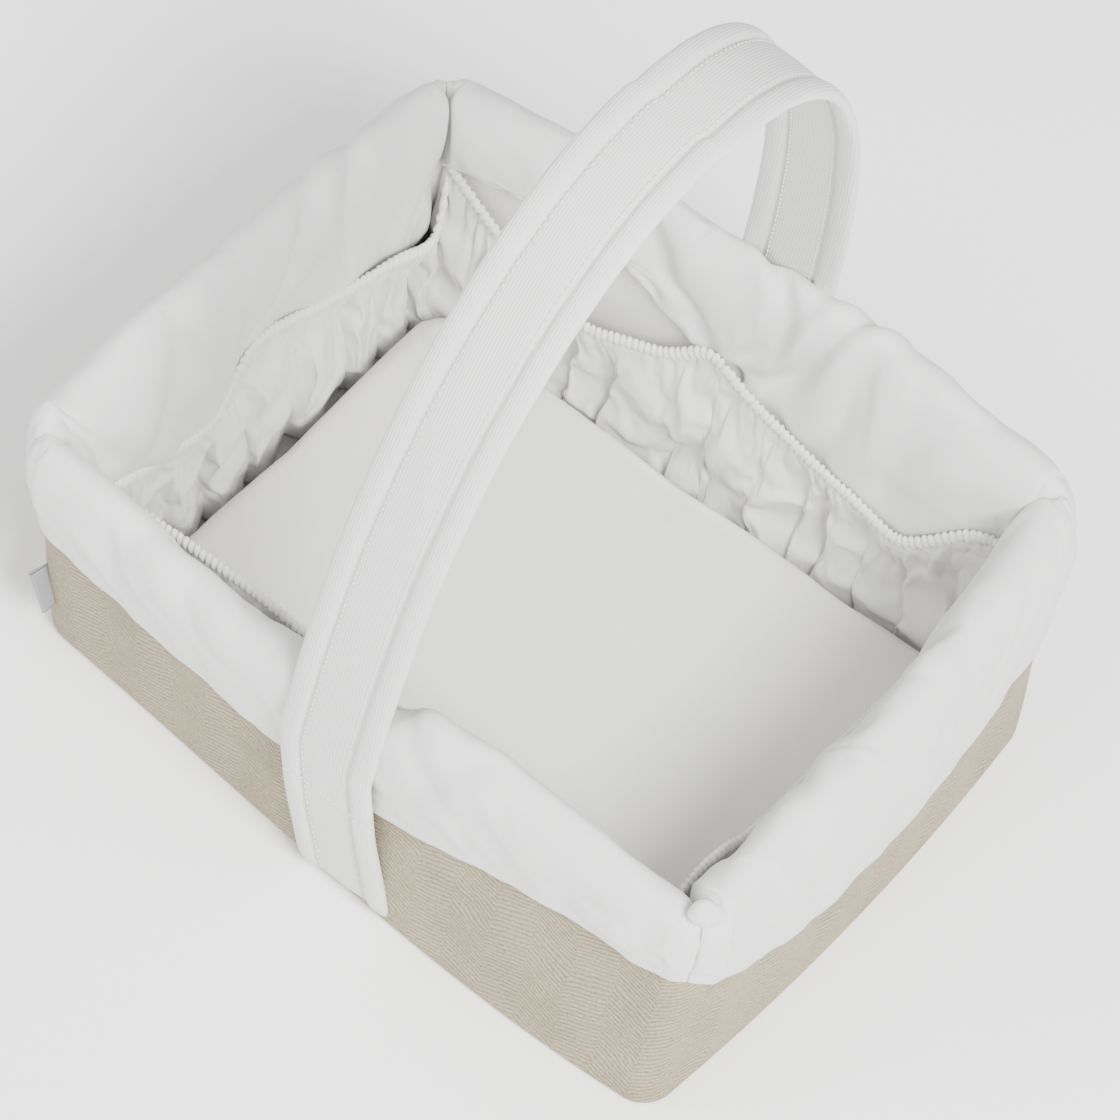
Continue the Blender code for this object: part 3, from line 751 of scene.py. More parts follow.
def get_material(name):
    """The material of that name, made the first time it is asked for."""
    if name in bpy.data.materials:
        return bpy.data.materials[name]
    if name not in MATERIALS:
        return make_linen(name)
    colour, *rest = MATERIALS[name]
    make = make_small_material if name in SMALL_MATERIALS else make_cotton
    return make(name, getattr(settings().finish, colour), *rest)


# Linen body

# Radius of the rounded lower edge, and how far the cloth turns in under the base
BASE_ROUND = 0.0035
BASE_TURN = 0.020
# Columns of the linen along each wall, and columns round each half corner
LINEN_COLUMNS = 44
CORNER_COLUMNS = 7
# Rows of the linen under the base, round its edge and up the wall
TURN_ROWS, ROUND_ROWS, WALL_ROWS = 2, 4, 26
# How far the linen wrinkles, and how far it bellies out in the middle of each wall
LINEN_SLACK = 0.0009
LINEN_BELLY = 0.0012
# Thickness of the base board, the wall boards' distance from the wall's faces, and their foot
BOARD_THICKNESS = 0.0020
BOARD_GAP = 0.0014
BOARD_FOOT = 0.006
# Columns of the lining along each wall, its rows up the wall and its thickness
LINING_COLUMNS = 36
LINING_ROWS = 22
LINING_THICKNESS = 0.0008


def ring_columns(columns, corner):
    """(side, station, distance round the linen) for every column of a ring round the basket."""
    ring = []
    start = 0.0
    for side in SIDES:
        half = station_length(side, 2)
        places = stations(columns, corner)
        ring += [(side, station, start + half + station_length(side, station)) for station in places[:-1]]
        start += 2 * half
    ring.append((SIDES[0], -2, start))
    return ring


def linen_section(row):
    """Offset, height and cloth length of the linen's outside: in under the base, round its edge
    and up the wall."""
    if row <= TURN_ROWS:
        reach = BASE_TURN * (1 - row / TURN_ROWS)
        return -BASE_ROUND - reach, 0.0, -BASE_ROUND * pi / 2 - reach
    if row <= TURN_ROWS + ROUND_ROWS:
        angle = (row - TURN_ROWS) / ROUND_ROWS * pi / 2
        return -BASE_ROUND * (1 - sin(angle)), BASE_ROUND * (1 - cos(angle)), BASE_ROUND * (angle - pi / 2)
    share = (row - TURN_ROWS - ROUND_ROWS) / WALL_ROWS
    height = mix(BASE_ROUND, WALL_HEIGHT, share)
    return 0.0, height, height - BASE_ROUND


def make_linen_body():
    """Makes the linen outside, with its edge turned in under the base."""
    ring = ring_columns(LINEN_COLUMNS, CORNER_COLUMNS)

    def place(column, row):
        side, station, distance = ring[column]
        offset, height, length = linen_section(row)
        up = clamp(height / WALL_HEIGHT)
        around = distance % ring[-1][2]
        slack = 0.0
        if height > BASE_ROUND + 0.0005:
            slack = LINEN_SLACK * rough(around * 22, height * 30, 3.0) * sin(pi * up) ** 0.5
        belly = LINEN_BELLY * (1 - min(abs(station), 1) ** 2) * sin(pi * clamp(up * 1.4))
        return settle(side_point(side, station, offset + slack + belly, sagged(side, station, height)))

    def weave(column, row):
        return ring[column][2], linen_section(row)[2]

    shape = cloth_grid(len(ring) - 1, TURN_ROWS + ROUND_ROWS + WALL_ROWS, place, weave)
    body = add_piece("linen_body", shape, "woven_herringbone")
    thicken(body, CLOTH)
    return body


def base_grid(columns, rows, inset, height, rounding=0.0, flip=False):
    """Level grid over the base, held in from its edge and with its corners drawn in by a share."""
    half_length, half_width = half_sizes(0.0)

    def place(column, row):
        along = mix(-1, 1, column / columns)
        across = mix(-1, 1, row / rows)
        square = 1 - rounding * (along * across) ** 8
        point = (along * (half_length - inset) * square, across * (half_width - inset) * square, height)
        return settle(Vector(point))

    def weave(column, row):
        return 2 * half_length * column / columns, 2 * half_width * row / rows

    return cloth_grid(columns, rows, place, weave, flip)


def make_base_panel():
    """Makes the linen panel under the base, inside the turned edge."""
    shape = base_grid(30, 22, BASE_ROUND + BASE_TURN * 0.5, CLOTH + 0.0001, rounding=0.012, flip=True)
    panel = add_piece("linen_underside", shape, "woven_herringbone")
    thicken(panel, CLOTH * 0.8)
    return panel


def make_wall_board(side):
    """Makes the board inside one wall."""
    columns = 20
    inner, outer = -settings().body.stack + BOARD_GAP, -BOARD_GAP

    def place(column, row):
        station = mix(-0.97, 0.97, column / columns)
        height = BOARD_FOOT if row % 4 in (0, 1) else sagged(side, station, WALL_HEIGHT - 0.003)
        return settle(side_point(side, station, inner if row % 4 in (0, 3) else outer, height))

    def weave(column, row):
        return 0.01 * column, 0.01 * row

    shape = cloth_grid(columns, 4, place, weave)
    close_ends(shape)
    return add_piece("wall_stiffener_" + side, shape, "fibre_board")


def make_base_stiffener():
    """Makes the board in the base."""
    shape = base_grid(24, 18, 0.010, PANEL_BOX[1].z + 0.0028)
    board = add_piece("base_stiffener", shape, "fibre_board")
    thicken(board, BOARD_THICKNESS)
    return board


def make_lining():
    """Makes the lining: its floor and walls in one sewn piece."""
    ring = ring_columns(LINING_COLUMNS, CORNER_COLUMNS)
    stack = settings().body.stack
    floor = LINING_BOX[0].z + CLOTH

    def place(column, row):
        side, station, distance = ring[column]
        height = mix(floor, WALL_HEIGHT - 0.0004, row / LINING_ROWS)
        slack = 0.0004 * rough(distance % ring[-1][2] * 40, height * 45, 8.0)
        return settle(side_point(side, station, -stack - 0.0006 - slack, sagged(side, station, height)))

    def weave(column, row):
        return ring[column][2], mix(floor, WALL_HEIGHT, row / LINING_ROWS)

    shape = cloth_grid(len(ring) - 1, LINING_ROWS, place, weave, flip=True)
    foot = [edge for edge in shape.edges if edge.is_boundary and edge.verts[0].co.z < floor + 0.001]
    bmesh.ops.holes_fill(shape, edges=foot, sides=0)
    lining = add_piece("lining", shape, "woven_lining")
    thicken(lining, LINING_THICKNESS)
    return lining


# Padded cuff

# Height of the outer hem along each wall
OUTER_HEM = {
    "front": (
        (-2.0, 0.074), (-1.0, 0.070), (-0.6, 0.062), (-0.2, 0.058), (0.0, 0.060), (0.2, 0.065), (0.5, 0.077),
        (0.8, 0.083), (2.0, 0.083),
    ),
    "right": (
        (-2.0, 0.083), (-1.0, 0.072), (-0.8, 0.061), (-0.4, 0.046), (0.0, 0.043), (0.4, 0.048), (1.0, 0.057),
        (2.0, 0.062),
    ),
    "back": ((-2.0, 0.062), (-0.5, 0.052), (0.3, 0.049), (2.0, 0.070)),
    "left": ((-2.0, 0.070), (-1.0, 0.063), (-0.2, 0.050), (0.4, 0.053), (1.0, 0.068), (2.0, 0.074)),
}
# Height of the inner hem along each wall
INNER_HEM = {
    "front": ((-2.0, 0.080), (0.0, 0.076), (2.0, 0.080)),
    "right": ((-2.0, 0.080), (0.2, 0.074), (2.0, 0.078)),
    "back": (
        (-2.0, 0.074), (-0.85, 0.064), (-0.6, 0.053), (-0.3, 0.055), (0.0, 0.070), (0.18, 0.085), (0.5, 0.104),
        (0.9, 0.098), (2.0, 0.092),
    ),
    "left": (
        (-2.0, 0.086), (-1.1, 0.056), (-0.85, 0.047), (-0.5, 0.052), (-0.3, 0.056), (-0.12, 0.064), (0.1, 0.066),
        (0.4, 0.050), (0.8, 0.058), (2.0, 0.074),
    ),
}
# Folds of each cuff: station, slant, width and depth, then where over the section a fold lies and
# how far it runs
CUFF_FOLDS = {
    "left": (
        (-0.52, 0.10, 0.055, 0.0028, 1.75, 0.5),
        (-0.15, 0.42, 0.050, 0.0034, 1.9, 0.6),
        (0.55, 0.35, 0.07, 0.0018, 1.9, 0.5),
        (1.0, -0.3, 0.08, 0.0022, 2.0, 0.5),
    ),
    "back": (
        (0.28, -0.30, 0.06, 0.0024, 1.9, 0.6),
        (-0.06, -0.22, 0.032, 0.0030, 1.6, 0.35),
        (-0.09, 0.14, 0.035, 0.0032, 2.2, 0.6),
        (-0.24, 0.26, 0.036, 0.0042, 1.9, 0.75),
        (-0.40, 0.12, 0.050, 0.0022, 2.0, 0.55),
        (-0.66, 0.18, 0.060, 0.0018, 2.0, 0.5),
    ),
    "front": (
        (-0.70, 0.22, 0.06, 0.0020, 1.3, 0.45),
        (-0.48, -0.18, 0.05, 0.0016, 1.2, 0.4),
        (0.22, -0.25, 0.05, 0.0026, 1.3, 0.38),
        (0.35, 0.20, 0.05, 0.0018, 1.1, 0.4),
    ),
    "right": ((-0.5, 0.2, 0.08, 0.0014, 1.7, 0.6), (0.3, -0.2, 0.09, 0.0014, 1.8, 0.6)),
}
# How much deeper the folds of each cuff are pressed in
FOLD_DEPTH = {"front": 1.25, "right": 1.5, "back": 1.5, "left": 1.5}
# How far the cloth stands up beside a fold, as a share of its depth
FOLD_LIP = 0.34
# Columns along each cuff and round its half corners, and rows up its outside, over its crown, down
# its inside and back over the wall
CUFF_COLUMNS = 96
CUFF_CORNER_COLUMNS = 7
LEG_ROWS = 12
CROWN_ROWS = 16
INNER_ROWS = 14
BACK_ROWS = 8
# Cloth length of one row, for the weave
ROW_LENGTH = 0.0042
# How far the crown reaches in at the corners
CORNER_ROLL = 0.0118
# How far the corner seams pull the cloth in, and over what distance
SEAM_PINCH = 0.0016
SEAM_WIDTH = 0.0035
# How far the ends of two cuffs gape inside each corner, at both ends of each cuff
CORNER_GAPE = {"front": (0.003, 0.009), "right": (0.009, 0.003), "back": (0.003, 0.009), "left": (0.009, 0.003)}
# Half the gap between the ends of two cuffs
END_GAP = 0.0002
# How far the strap presses the cuffs in, and how deep the wadding dents and the hems pucker
STRAP_PRESS = 0.0042
CUFF_DENT = 0.0008
HEM_PUCKER = 0.0008
# Clearance between the cuff's inside and the wall that it covers
WALL_GAP = 0.0011
# How much the cuff bellies out below its crown
CUFF_BELLY = 0.0008
# Middle of the small corner fold, and half its length, depth and height
CORNER_FOLD_PLACE = Vector((0.1503, -0.1058, 0.1200))
CORNER_FOLD_SIZE = (0.0064, 0.0044, 0.0072)
# Share over the section where the cuff's crown ends for the wadding, and how far the wadding may
# push each cuff on its outside and over its crown
CROWN_END = 2.25
OUTER_GIVE = 0.0018
CROWN_GIVE = {"front": 0.0018, "right": 0.0040, "back": 0.0040, "left": 0.0040}
# How far the wadding may push each cuff's inside toward the pockets
INNER_GIVE = {"front": 0.0015, "right": 0.0020, "back": 0.0020, "left": 0.0030}


def cuff_curve(side, station, share):
    """Offset and height over the cuff: 0 to 1 up the outside, 1 to 2 over the crown, 2 to 3 down
    the inside."""
    cuff = settings().cuff
    inner_edge = -(settings().body.stack + 2 * WALL_GAP)
    roll = mix(-inner_edge, cuff.roll, along_points(ROLL_SHARE[side], station))
    if abs(station) > 1:
        roll = mix(roll, CORNER_ROLL, abs(station) - 1)
    if share <= 1:
        belly = CUFF_BELLY * sin(pi * share)
        offset = mix(cuff.hem_stand, cuff.stand, ease(share)) + belly
        height = mix(along_points(OUTER_HEM[side], station), cuff.spring, share)
    elif share <= 2:
        angle = (share - 1) * pi
        offset = (cuff.stand - roll) / 2 + (cuff.stand + roll) / 2 * cos(angle)
        height = cuff.spring + (cuff.top - cuff.spring) * sin(angle)
    else:
        down = share - 2
        offset = mix(-roll * (1 - 0.16 * down), inner_edge, ease((down - 0.70) / 0.30) ** 1.3)
        height = mix(cuff.spring, along_points(INNER_HEM[side], station), down ** 0.9)
    return offset, sagged(side, station, height)


def sagged(side, station, height):
    """Height on the rim, raised or sunk as the soft rim has settled."""
    if height <= SAG_START:
        return height
    return SAG_START + (height - SAG_START) * (1 + along_points(RIM_SAG[side], station))


def fold_depth(side, station, share):
    """How far the cuff's folds sink at a place."""
    depth = 0.0
    for place, slant, width, deep, centre, spread in CUFF_FOLDS[side]:
        away = station - place - slant * (share - centre)
        away += 0.03 * sin(5 * share + 9 * place)
        crease = hill(away, width * 1.1) * 0.5 + 0.5 * exp(-abs(away) / (width * 0.4))
        crease -= FOLD_LIP * hill(abs(away) - width * 2.0, width * 1.1)
        depth += FOLD_DEPTH[side] * deep * crease * hill(share - centre, spread)
    return depth


def cuff_depth(side, station, share):
    """How far seams and dents pull the cuff's surface in."""
    depth = 0.0
    straight, corner = side_reach(side)
    to_seam = (2 - abs(station)) * corner if abs(station) > 1 else corner + (1 - abs(station)) * straight
    swell = 0.0011 * rough(station * 3.1, share * 1.6, len(side) * 3.7)
    swell += 0.0005 * rough(station * 9, share * 4, 7.0)
    depth -= swell * clamp(share * 2) * clamp((3 - share) * 2)
    depth -= CUFF_DENT * (1 - 2 * abs(rough(station * 4.6 + share, share * 1.3 - station, len(side) * 1.9)))
    hem = hill(share, 0.25) + hill(share - 3, 0.25)
    depth -= HEM_PUCKER * hem * rough(station_length(side, station) * 130, share * 2, len(side) * 2.3)
    depth *= clamp(to_seam / 0.012)
    depth -= 0.0011 * rough(share * 9, station * 30, 2.5) * exp(-to_seam / 0.009) * clamp(share * 3)
    if side in LONG_SIDES:
        depth += STRAP_PRESS * hill(station, 0.2) * clamp(share * 3) * clamp(2 - share)
    return depth + SEAM_PINCH * exp(-to_seam / SEAM_WIDTH) * clamp(share * 3)


def cuff_outside(side, station, share):
    """Offset and height on the cuff's outside, with its seams and dents."""
    before = cuff_curve(side, station, max(share - 0.02, 0))
    after = cuff_curve(side, station, min(share + 0.02, 3))
    run, rise = after[0] - before[0], after[1] - before[1]
    length = hypot(run, rise)
    offset, height = cuff_curve(side, station, share)
    depth = cuff_depth(side, station, share)
    return offset - depth * rise / length, height + depth * run / length


def cuff_inside(side, station, share):
    """Offset and height on the cuff's inside: up the lining, over the wall's top and down the
    linen."""
    inner_face = -(settings().body.stack + WALL_GAP)
    outer_face = 0.0013
    top = sagged(side, station, WALL_HEIGHT + 0.0010)
    turn = 0.003
    if share < 0.4:
        return inner_face, mix(along_points(INNER_HEM[side], station), top - turn, share / 0.4)
    if share <= 0.6:
        angle = (share - 0.4) / 0.2 * pi
        middle, half = (inner_face + outer_face) / 2, (outer_face - inner_face) / 2
        return middle - half * cos(angle), top - turn + turn * sin(angle)
    return outer_face, mix(top - turn, along_points(OUTER_HEM[side], station), (share - 0.6) / 0.4)


def make_cuff(side):
    """Makes the padded cuff over one wall as one closed form, from hem to hem and back over the
    wall's top."""
    places = stations(CUFF_COLUMNS, CUFF_CORNER_COLUMNS)
    shares = [row / LEG_ROWS for row in range(LEG_ROWS)]
    shares += [1 + row / CROWN_ROWS for row in range(CROWN_ROWS)]
    shares += [2 + row / INNER_ROWS for row in range(INNER_ROWS + 1)]
    front_rows = len(shares)
    rows = front_rows + BACK_ROWS

    def place(column, row):
        row = row % rows
        station = places[column]
        if row < front_rows:
            offset, height = cuff_outside(side, station, shares[row])
            inward = ease((row / front_rows - 0.52) / 0.3)
        else:
            offset, height = cuff_inside(side, station, (row - front_rows + 0.5) / BACK_ROWS)
            inward = 1.0
        gape = CORNER_GAPE[side][0 if station < 0 else 1]
        return settle(side_point(side, station, offset, height, END_GAP + gape * inward))

    def weave(column, row):
        return station_length(side, places[column]), row * ROW_LENGTH

    def limit(known, drawn, moved):
        share = known[1]
        if share > CROWN_END:
            return within(drawn, moved, INNER_GIVE[side])
        return within(drawn, moved, OUTER_GIVE if share < 1 else CROWN_GIVE[side])

    shape = cloth_grid(len(places) - 1, rows, place, weave)
    close_ends(shape)
    cuff = add_piece("cuff_padded_" + side, shape, "woven_cuff")
    free = find_points(cuff, {
        key_of(place(column, row)): (places[column], shares[row])
        for column in range(1, len(places) - 1)
        for row in range(3, front_rows - 3)
    })
    sizes = settings().cuff
    cloth_settles(cuff, free, sizes.swell, sizes.pressure, limit)
    cuff.data.update()
    inward = {index: -cuff.data.vertices[index].normal for index in free}
    for index, (station, share) in free.items():
        cuff.data.vertices[index].co += inward[index] * fold_depth(side, station, share)
    round_off(cuff)
    return cuff


def make_corner_fold():
    """Makes the spare end of the cuffs that stands up as a small fold at the right front corner."""
    shape = bmesh.new()
    bmesh.ops.create_icosphere(shape, subdivisions=4, radius=1)
    along = Vector((0.85, 0.53, 0.0))
    out = Vector((0.53, -0.85, 0.0))
    length, depth, height = CORNER_FOLD_SIZE
    for vert in shape.verts:
        x, y, z = vert.co
        pinch = 1 - 0.35 * clamp(-z) - 0.16 * hill(x - 0.45, 0.16) * clamp(y + 0.6)
        lump = 1 + 0.10 * rough(x * 1.9, y * 1.9, z * 1.9 + 4.0)
        vert.co = (
            CORNER_FOLD_PLACE
            + along * (length * x * pinch * lump)
            + out * (depth * y * pinch * lump)
            + Vector((0, 0, height * z * lump - 0.0010 * x * x))
        )
    fold = add_piece("cuff_corner_fold", shape, "woven_cuff")
    flat_weave(fold)
    return fold


# Gathered pockets

# Name, wall and edges of its puffs, by their place along the wall, then the elastic's place along
# the wall, height and distance behind the pad's edge
POCKETS = (
    (
        "left", "left",
        (-0.103, -0.087, -0.066, -0.046, -0.014, 0.012, 0.036, 0.060, 0.082, 0.103),
        ((-0.103, 0.090, 0.0090), (-0.090, 0.065, 0.0020), (-0.066, 0.072, 0.0025), (-0.051, 0.0725, 0.0050),
         (-0.0325, 0.0740, 0.0080), (-0.007, 0.0815, 0.0105), (0.007, 0.0825, 0.0103), (0.018, 0.0740, 0.0092),
         (0.033, 0.0640, 0.0068), (0.050, 0.0665, 0.0072), (0.080, 0.0765, 0.0078), (0.103, 0.086, 0.0080)),
    ),
    (
        "right", "right",
        (-0.103, -0.075, -0.050, -0.028, 0.0, 0.024, 0.050, 0.075, 0.103),
        ((-0.103, 0.090, 0.0040), (-0.076, 0.094, 0.0030), (-0.050, 0.086, 0.0050), (0.012, 0.082, 0.0060),
         (0.060, 0.080, 0.0060), (0.103, 0.088, 0.0060)),
    ),
    (
        "front_left", "front",
        (-0.135, -0.110, -0.088, -0.063, -0.042, -0.020, 0.0),
        ((-0.135, 0.093, 0.0050), (-0.110, 0.0975, 0.0028), (-0.060, 0.0975, 0.0032), (-0.030, 0.093, 0.0038),
         (0.0, 0.087, 0.0050)),
    ),
    (
        "front_right", "front",
        (0.0, 0.022, 0.046, 0.066, 0.090, 0.112, 0.135),
        ((0.0, 0.086, 0.0050), (0.040, 0.078, 0.0040), (0.100, 0.080, 0.0040), (0.135, 0.088, 0.0050)),
    ),
    (
        "back_right", "back",
        (-0.135, -0.112, -0.090, -0.071, -0.055, -0.044, -0.023, 0.0),
        ((-0.135, 0.1010, 0.0022), (-0.118, 0.0945, 0.0026), (-0.098, 0.0750, 0.0012), (-0.088, 0.0685, 0.0006),
         (-0.072, 0.0725, 0.0006), (-0.045, 0.0770, 0.0022), (-0.018, 0.0825, 0.0042), (0.0, 0.0890, 0.0058)),
    ),
    (
        "back_left", "back",
        (0.0, 0.017, 0.046, 0.066, 0.088, 0.112, 0.135),
        ((0.0, 0.0895, 0.0058), (0.007, 0.090, 0.0066), (0.023, 0.076, 0.0062), (0.042, 0.069, 0.0040),
         (0.060, 0.064, 0.0025), (0.088, 0.070, 0.0030), (0.110, 0.080, 0.0060), (0.135, 0.096, 0.0080)),
    ),
)
# Rows of each pocket, and columns of each puff and of each thread round the elastic
POCKET_ROWS = 26
PUFF_COLUMNS = 20
RIB_COLUMNS = 8
ELASTIC_ROWS = 10
# Clearance between the pockets and the pad, where the pockets start and how high the pad reaches
PAD_CLEARANCE = 0.0006
POCKET_FOOT = 0.0062
PAD_TOP = 0.032
# How far the pockets' hollows may reach back along the long and the short walls
LONG_HOLLOW = 0.0078
SHORT_HOLLOW = 0.0105
# How much wider the pockets' cloth is than their wall, for the weave
GATHER = 1.45
# Thickness of the pockets' cloth, and how far it may move in its folds
POCKET_THICKNESS = 0.0006
POCKET_GIVE = 0.0038


def wall_axis(side):
    """Axis that runs out toward a wall."""
    return 1 if side in LONG_SIDES else 0


def pad_half(side):
    """Half the pad's size toward a wall."""
    return PAD_HIGH[wall_axis(side)]


def clear_pad(point, side):
    """Keeps a point of a pocket just clear of the pad's edge."""
    axis = wall_axis(side)
    point[axis] = copysign(max(abs(point[axis]), pad_half(side) + FIT_GAP), point[axis])
    return point


def pocket_curve(pocket):
    """Gives the function that places a point of one pocket, by its place along the wall and its
    share up."""
    name, side, edges, tops = pocket
    seed = sum(ord(letter) for letter in name) % 17
    long_wall = side in LONG_SIDES
    axis = wall_axis(side)
    limit = pad_half(side) + PAD_CLEARANCE
    stack = settings().body.stack
    heights = [(along, height) for along, height, inset in tops]
    insets = [(along, inset) for along, height, inset in tops]
    deepest = LONG_HOLLOW if long_wall else SHORT_HOLLOW

    def place(along, up):
        shifted = along + 0.0055 * rough(along * 26, up * 1.7, seed) * (1 - up)
        shifted = clamp(shifted + 0.0020 * rough(along * 90, up * 4, seed), edges[0], edges[-1])
        number = next((index for index in range(len(edges) - 2) if shifted < edges[index + 1]), len(edges) - 2)
        width = edges[number + 1] - edges[number]
        turn = clamp((shifted - edges[number]) / width)
        height = mix(POCKET_FOOT, along_points(heights, along), up)
        half_length, half_width = half_sizes(height)
        wall = (half_width if long_wall else half_length) - stack - 0.0016
        crest = settle(turn_to_side(side, along, limit, PAD_TOP))
        push = max(limit - abs(crest[axis]), 0.0)
        depth = min(deepest, wall - limit - push - 0.0004)
        skew = 2.1 + 0.5 * sin(1.7 * number + seed)
        lift = 0.86 + 0.14 * sin(2.4 * number + seed)
        out = lift * max(sin(pi * turn ** skew), 0.0) ** mix(0.42, 1.0, ease((up - 0.25) / 0.45))
        full = (1 - up ** 3) ** 0.5
        hollow = depth * (1 - out * full)
        top = ease((up - 0.58) / 0.42)
        pleat = abs(sin(pi * (4 * turn + 0.9 * rough(along * 55, up * 1.2, seed)))) ** 0.7 - 0.55
        fine = 0.0019 * pleat * clamp((up - 0.30) / 0.5) * (0.6 + 0.8 * abs(rough(along * 80, seed, 3.0)))
        ridge = 1 - 2.2 * abs(rough(along * 48 + up * 1.6, up * 2.4 - along * 22, seed + 0.5))
        crumple = 0.0014 * ridge * sin(pi * clamp(0.15 + up * 0.8))
        across = limit + push + max(mix(hollow, along_points(insets, along), top) - fine - crumple, 0.0)
        if long_wall:
            across = mix(limit + push + mix(0.0034, 0.0054, up), across, ease(abs(along) / 0.007))
        over = (0.30 * (out * full) ** 2 - 0.12) * width * sin(pi * clamp(up)) ** 0.6
        over *= clamp(min(along - edges[0], edges[-1] - along) / 0.012)
        return clear_pad(settle(turn_to_side(side, along + over, across, height)), side)

    return place


def make_pocket(pocket):
    """Makes the gathered cloth of one pocket."""
    name, side, edges, tops = pocket
    curve = pocket_curve(pocket)
    columns = (len(edges) - 1) * PUFF_COLUMNS

    def along_at(column):
        number = min(column // PUFF_COLUMNS, len(edges) - 2)
        return mix(edges[number], edges[number + 1], (column - number * PUFF_COLUMNS) / PUFF_COLUMNS)

    def place(column, row):
        return curve(along_at(column), row / POCKET_ROWS)

    def weave(column, row):
        return GATHER * along_at(column), 0.09 * row / POCKET_ROWS

    def limit(row, drawn, moved):
        return clear_pad(within(drawn, moved, POCKET_GIVE * sin(pi * row / POCKET_ROWS) ** 0.5), side)

    shape = cloth_grid(columns, POCKET_ROWS, place, weave, flip=True)
    piece = add_piece("pocket_gathered_" + name, shape, "woven_pocket")
    free = find_points(piece, {
        key_of(place(column, row)): row for column in range(1, columns) for row in range(2, POCKET_ROWS)
    })
    cloth_settles(piece, free, settings().pocket.swell, 0.0, limit)
    round_off(piece)
    thicken(piece, POCKET_THICKNESS, 0.0)
    return piece


def make_elastic(pocket):
    """Makes the elastic edge of one pocket: a soft band wrapped in sewing thread."""
    name, side, edges, tops = pocket
    sizes = settings().pocket
    curve = pocket_curve(pocket)
    start, end = edges[0], edges[-1]
    columns = ceil((end - start) / sizes.gather_pitch) * RIB_COLUMNS

    def centre(along):
        near = [curve(along + step * 0.0016, 1.0) for step in (-2, -1, 0, 1, 2)]
        return sum(near, Vector()) / len(near) + Vector((0, 0, 0.3 * sizes.elastic_height))

    def place(column, row):
        along = mix(start, end, column / columns)
        ahead = (centre(along + 0.0008) - centre(along - 0.0008)).normalized()
        outward = ahead.cross(Vector((0, 0, 1))).normalized()
        upward = outward.cross(ahead).normalized()
        angle = row / ELASTIC_ROWS * 2 * pi
        wrap = abs(sin(pi * (column / RIB_COLUMNS + 0.12 * sin(angle)))) ** 1.3
        lift = 0.62 + (0.38 + 0.12 * rough(along * 210, 3.0)) * wrap
        lean = 0.2 * sin(along * 90 + len(name))
        x = cos(angle + lean) * sizes.elastic_depth / 2 * lift
        y = sin(angle + lean) * sizes.elastic_height / 2 * lift
        return centre(along) + outward * x + upward * y

    def weave(column, row):
        return mix(start, end, column / columns), 0.009 * row / ELASTIC_ROWS

    shape = cloth_grid(columns, ELASTIC_ROWS, place, weave)
    close_ends(shape)
    return add_piece("elastic_edge_" + name, shape, "sewing_thread")


# Floor pad

# Radius of the pad's upright corners, and how evenly its cloth is divided
PAD_CORNER = 0.013
PAD_VOXEL = 0.0042
# Height over the pad's underside up to which its cloth is held, and how far the rest may move
PAD_HELD = 0.004
PAD_GIVE = 0.0022
# Share of spare cloth in the pad, and how hard its filling pushes
PAD_SWELL = 0.012
PAD_PRESSURE = 1.5
# Depth of the shallow dips in its upper face, and how far the whole pad sinks
PAD_DIP = 0.0007
PAD_DROP = 0.0006


def make_floor_pad():
    """Makes the loose pad as a closed padded form and lets it fill out."""
    low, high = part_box("floor_pad_cushion")
    size = high - low
    shape = bmesh.new()
    bmesh.ops.create_cube(shape, size=1)
    bmesh.ops.scale(shape, verts=shape.verts, vec=(size.x - 0.002, size.y - 0.002, size.z - 0.004))
    upright = [edge for edge in shape.edges if abs(edge.verts[0].co.z - edge.verts[1].co.z) > 0.001]
    bmesh.ops.bevel(
        shape, geom=upright, offset=PAD_CORNER, segments=5, profile=0.5, affect="EDGES", material=-1,
    )
    level = [edge for edge in shape.edges if len(edge.link_faces) == 2 and edge.calc_face_angle() > 1.2]
    radius = settings().pad.edge_radius
    bmesh.ops.bevel(
        shape, geom=level, offset=radius, segments=4, profile=0.5, affect="EDGES", material=-1,
    )
    bmesh.ops.translate(shape, verts=shape.verts, vec=(0, 0, (low.z + high.z) / 2 - 0.0008))
    pad = add_piece("floor_pad_padded", shape, "pad_twill")
    remesh = pad.modifiers.new("Remesh", "REMESH")
    remesh.mode = "VOXEL"
    remesh.voxel_size = PAD_VOXEL
    even = bpy.data.meshes.new_from_object(pad.evaluated_get(bpy.context.evaluated_depsgraph_get()))
    pad.modifiers.clear()
    pad.data = even
    even.shade_smooth()
    if not even.materials:
        even.materials.append(get_material("pad_twill"))

    def limit(known, drawn, moved):
        point = within(drawn, moved, PAD_GIVE)
        for axis in range(3):
            point[axis] = clamp(point[axis], low[axis], high[axis])
        return point

    free = {vert.index: None for vert in even.vertices if vert.co.z >= low.z + PAD_HELD}
    cloth_settles(pad, free, PAD_SWELL, PAD_PRESSURE, limit)
    crown = settings().pad.crown
    for vert in pad.data.vertices:
        share = clamp((vert.co.z - low.z) / size.z) ** 2
        over = (1 - (2 * vert.co.x / size.x) ** 2) * (1 - (2 * vert.co.y / size.y) ** 2)
        dip = PAD_DIP * rough(vert.co.x * 14, vert.co.y * 14, 4.0)
        vert.co.z = min(vert.co.z + share * (crown * max(over, 0) + dip) - PAD_DROP, high.z + PAD_DROP)
    flat_weave(pad)
    round_off(pad)
    return pad


def flat_weave(piece):
    """Gives a level piece weave coordinates seen from above."""
    layer = piece.data.uv_layers.get("weave") or piece.data.uv_layers.new(name="weave")
    for loop in piece.data.loops:
        co = piece.data.vertices[loop.vertex_index].co
        layer.data[loop.index].uv = (co.x, co.y + co.z)


# Handle strap

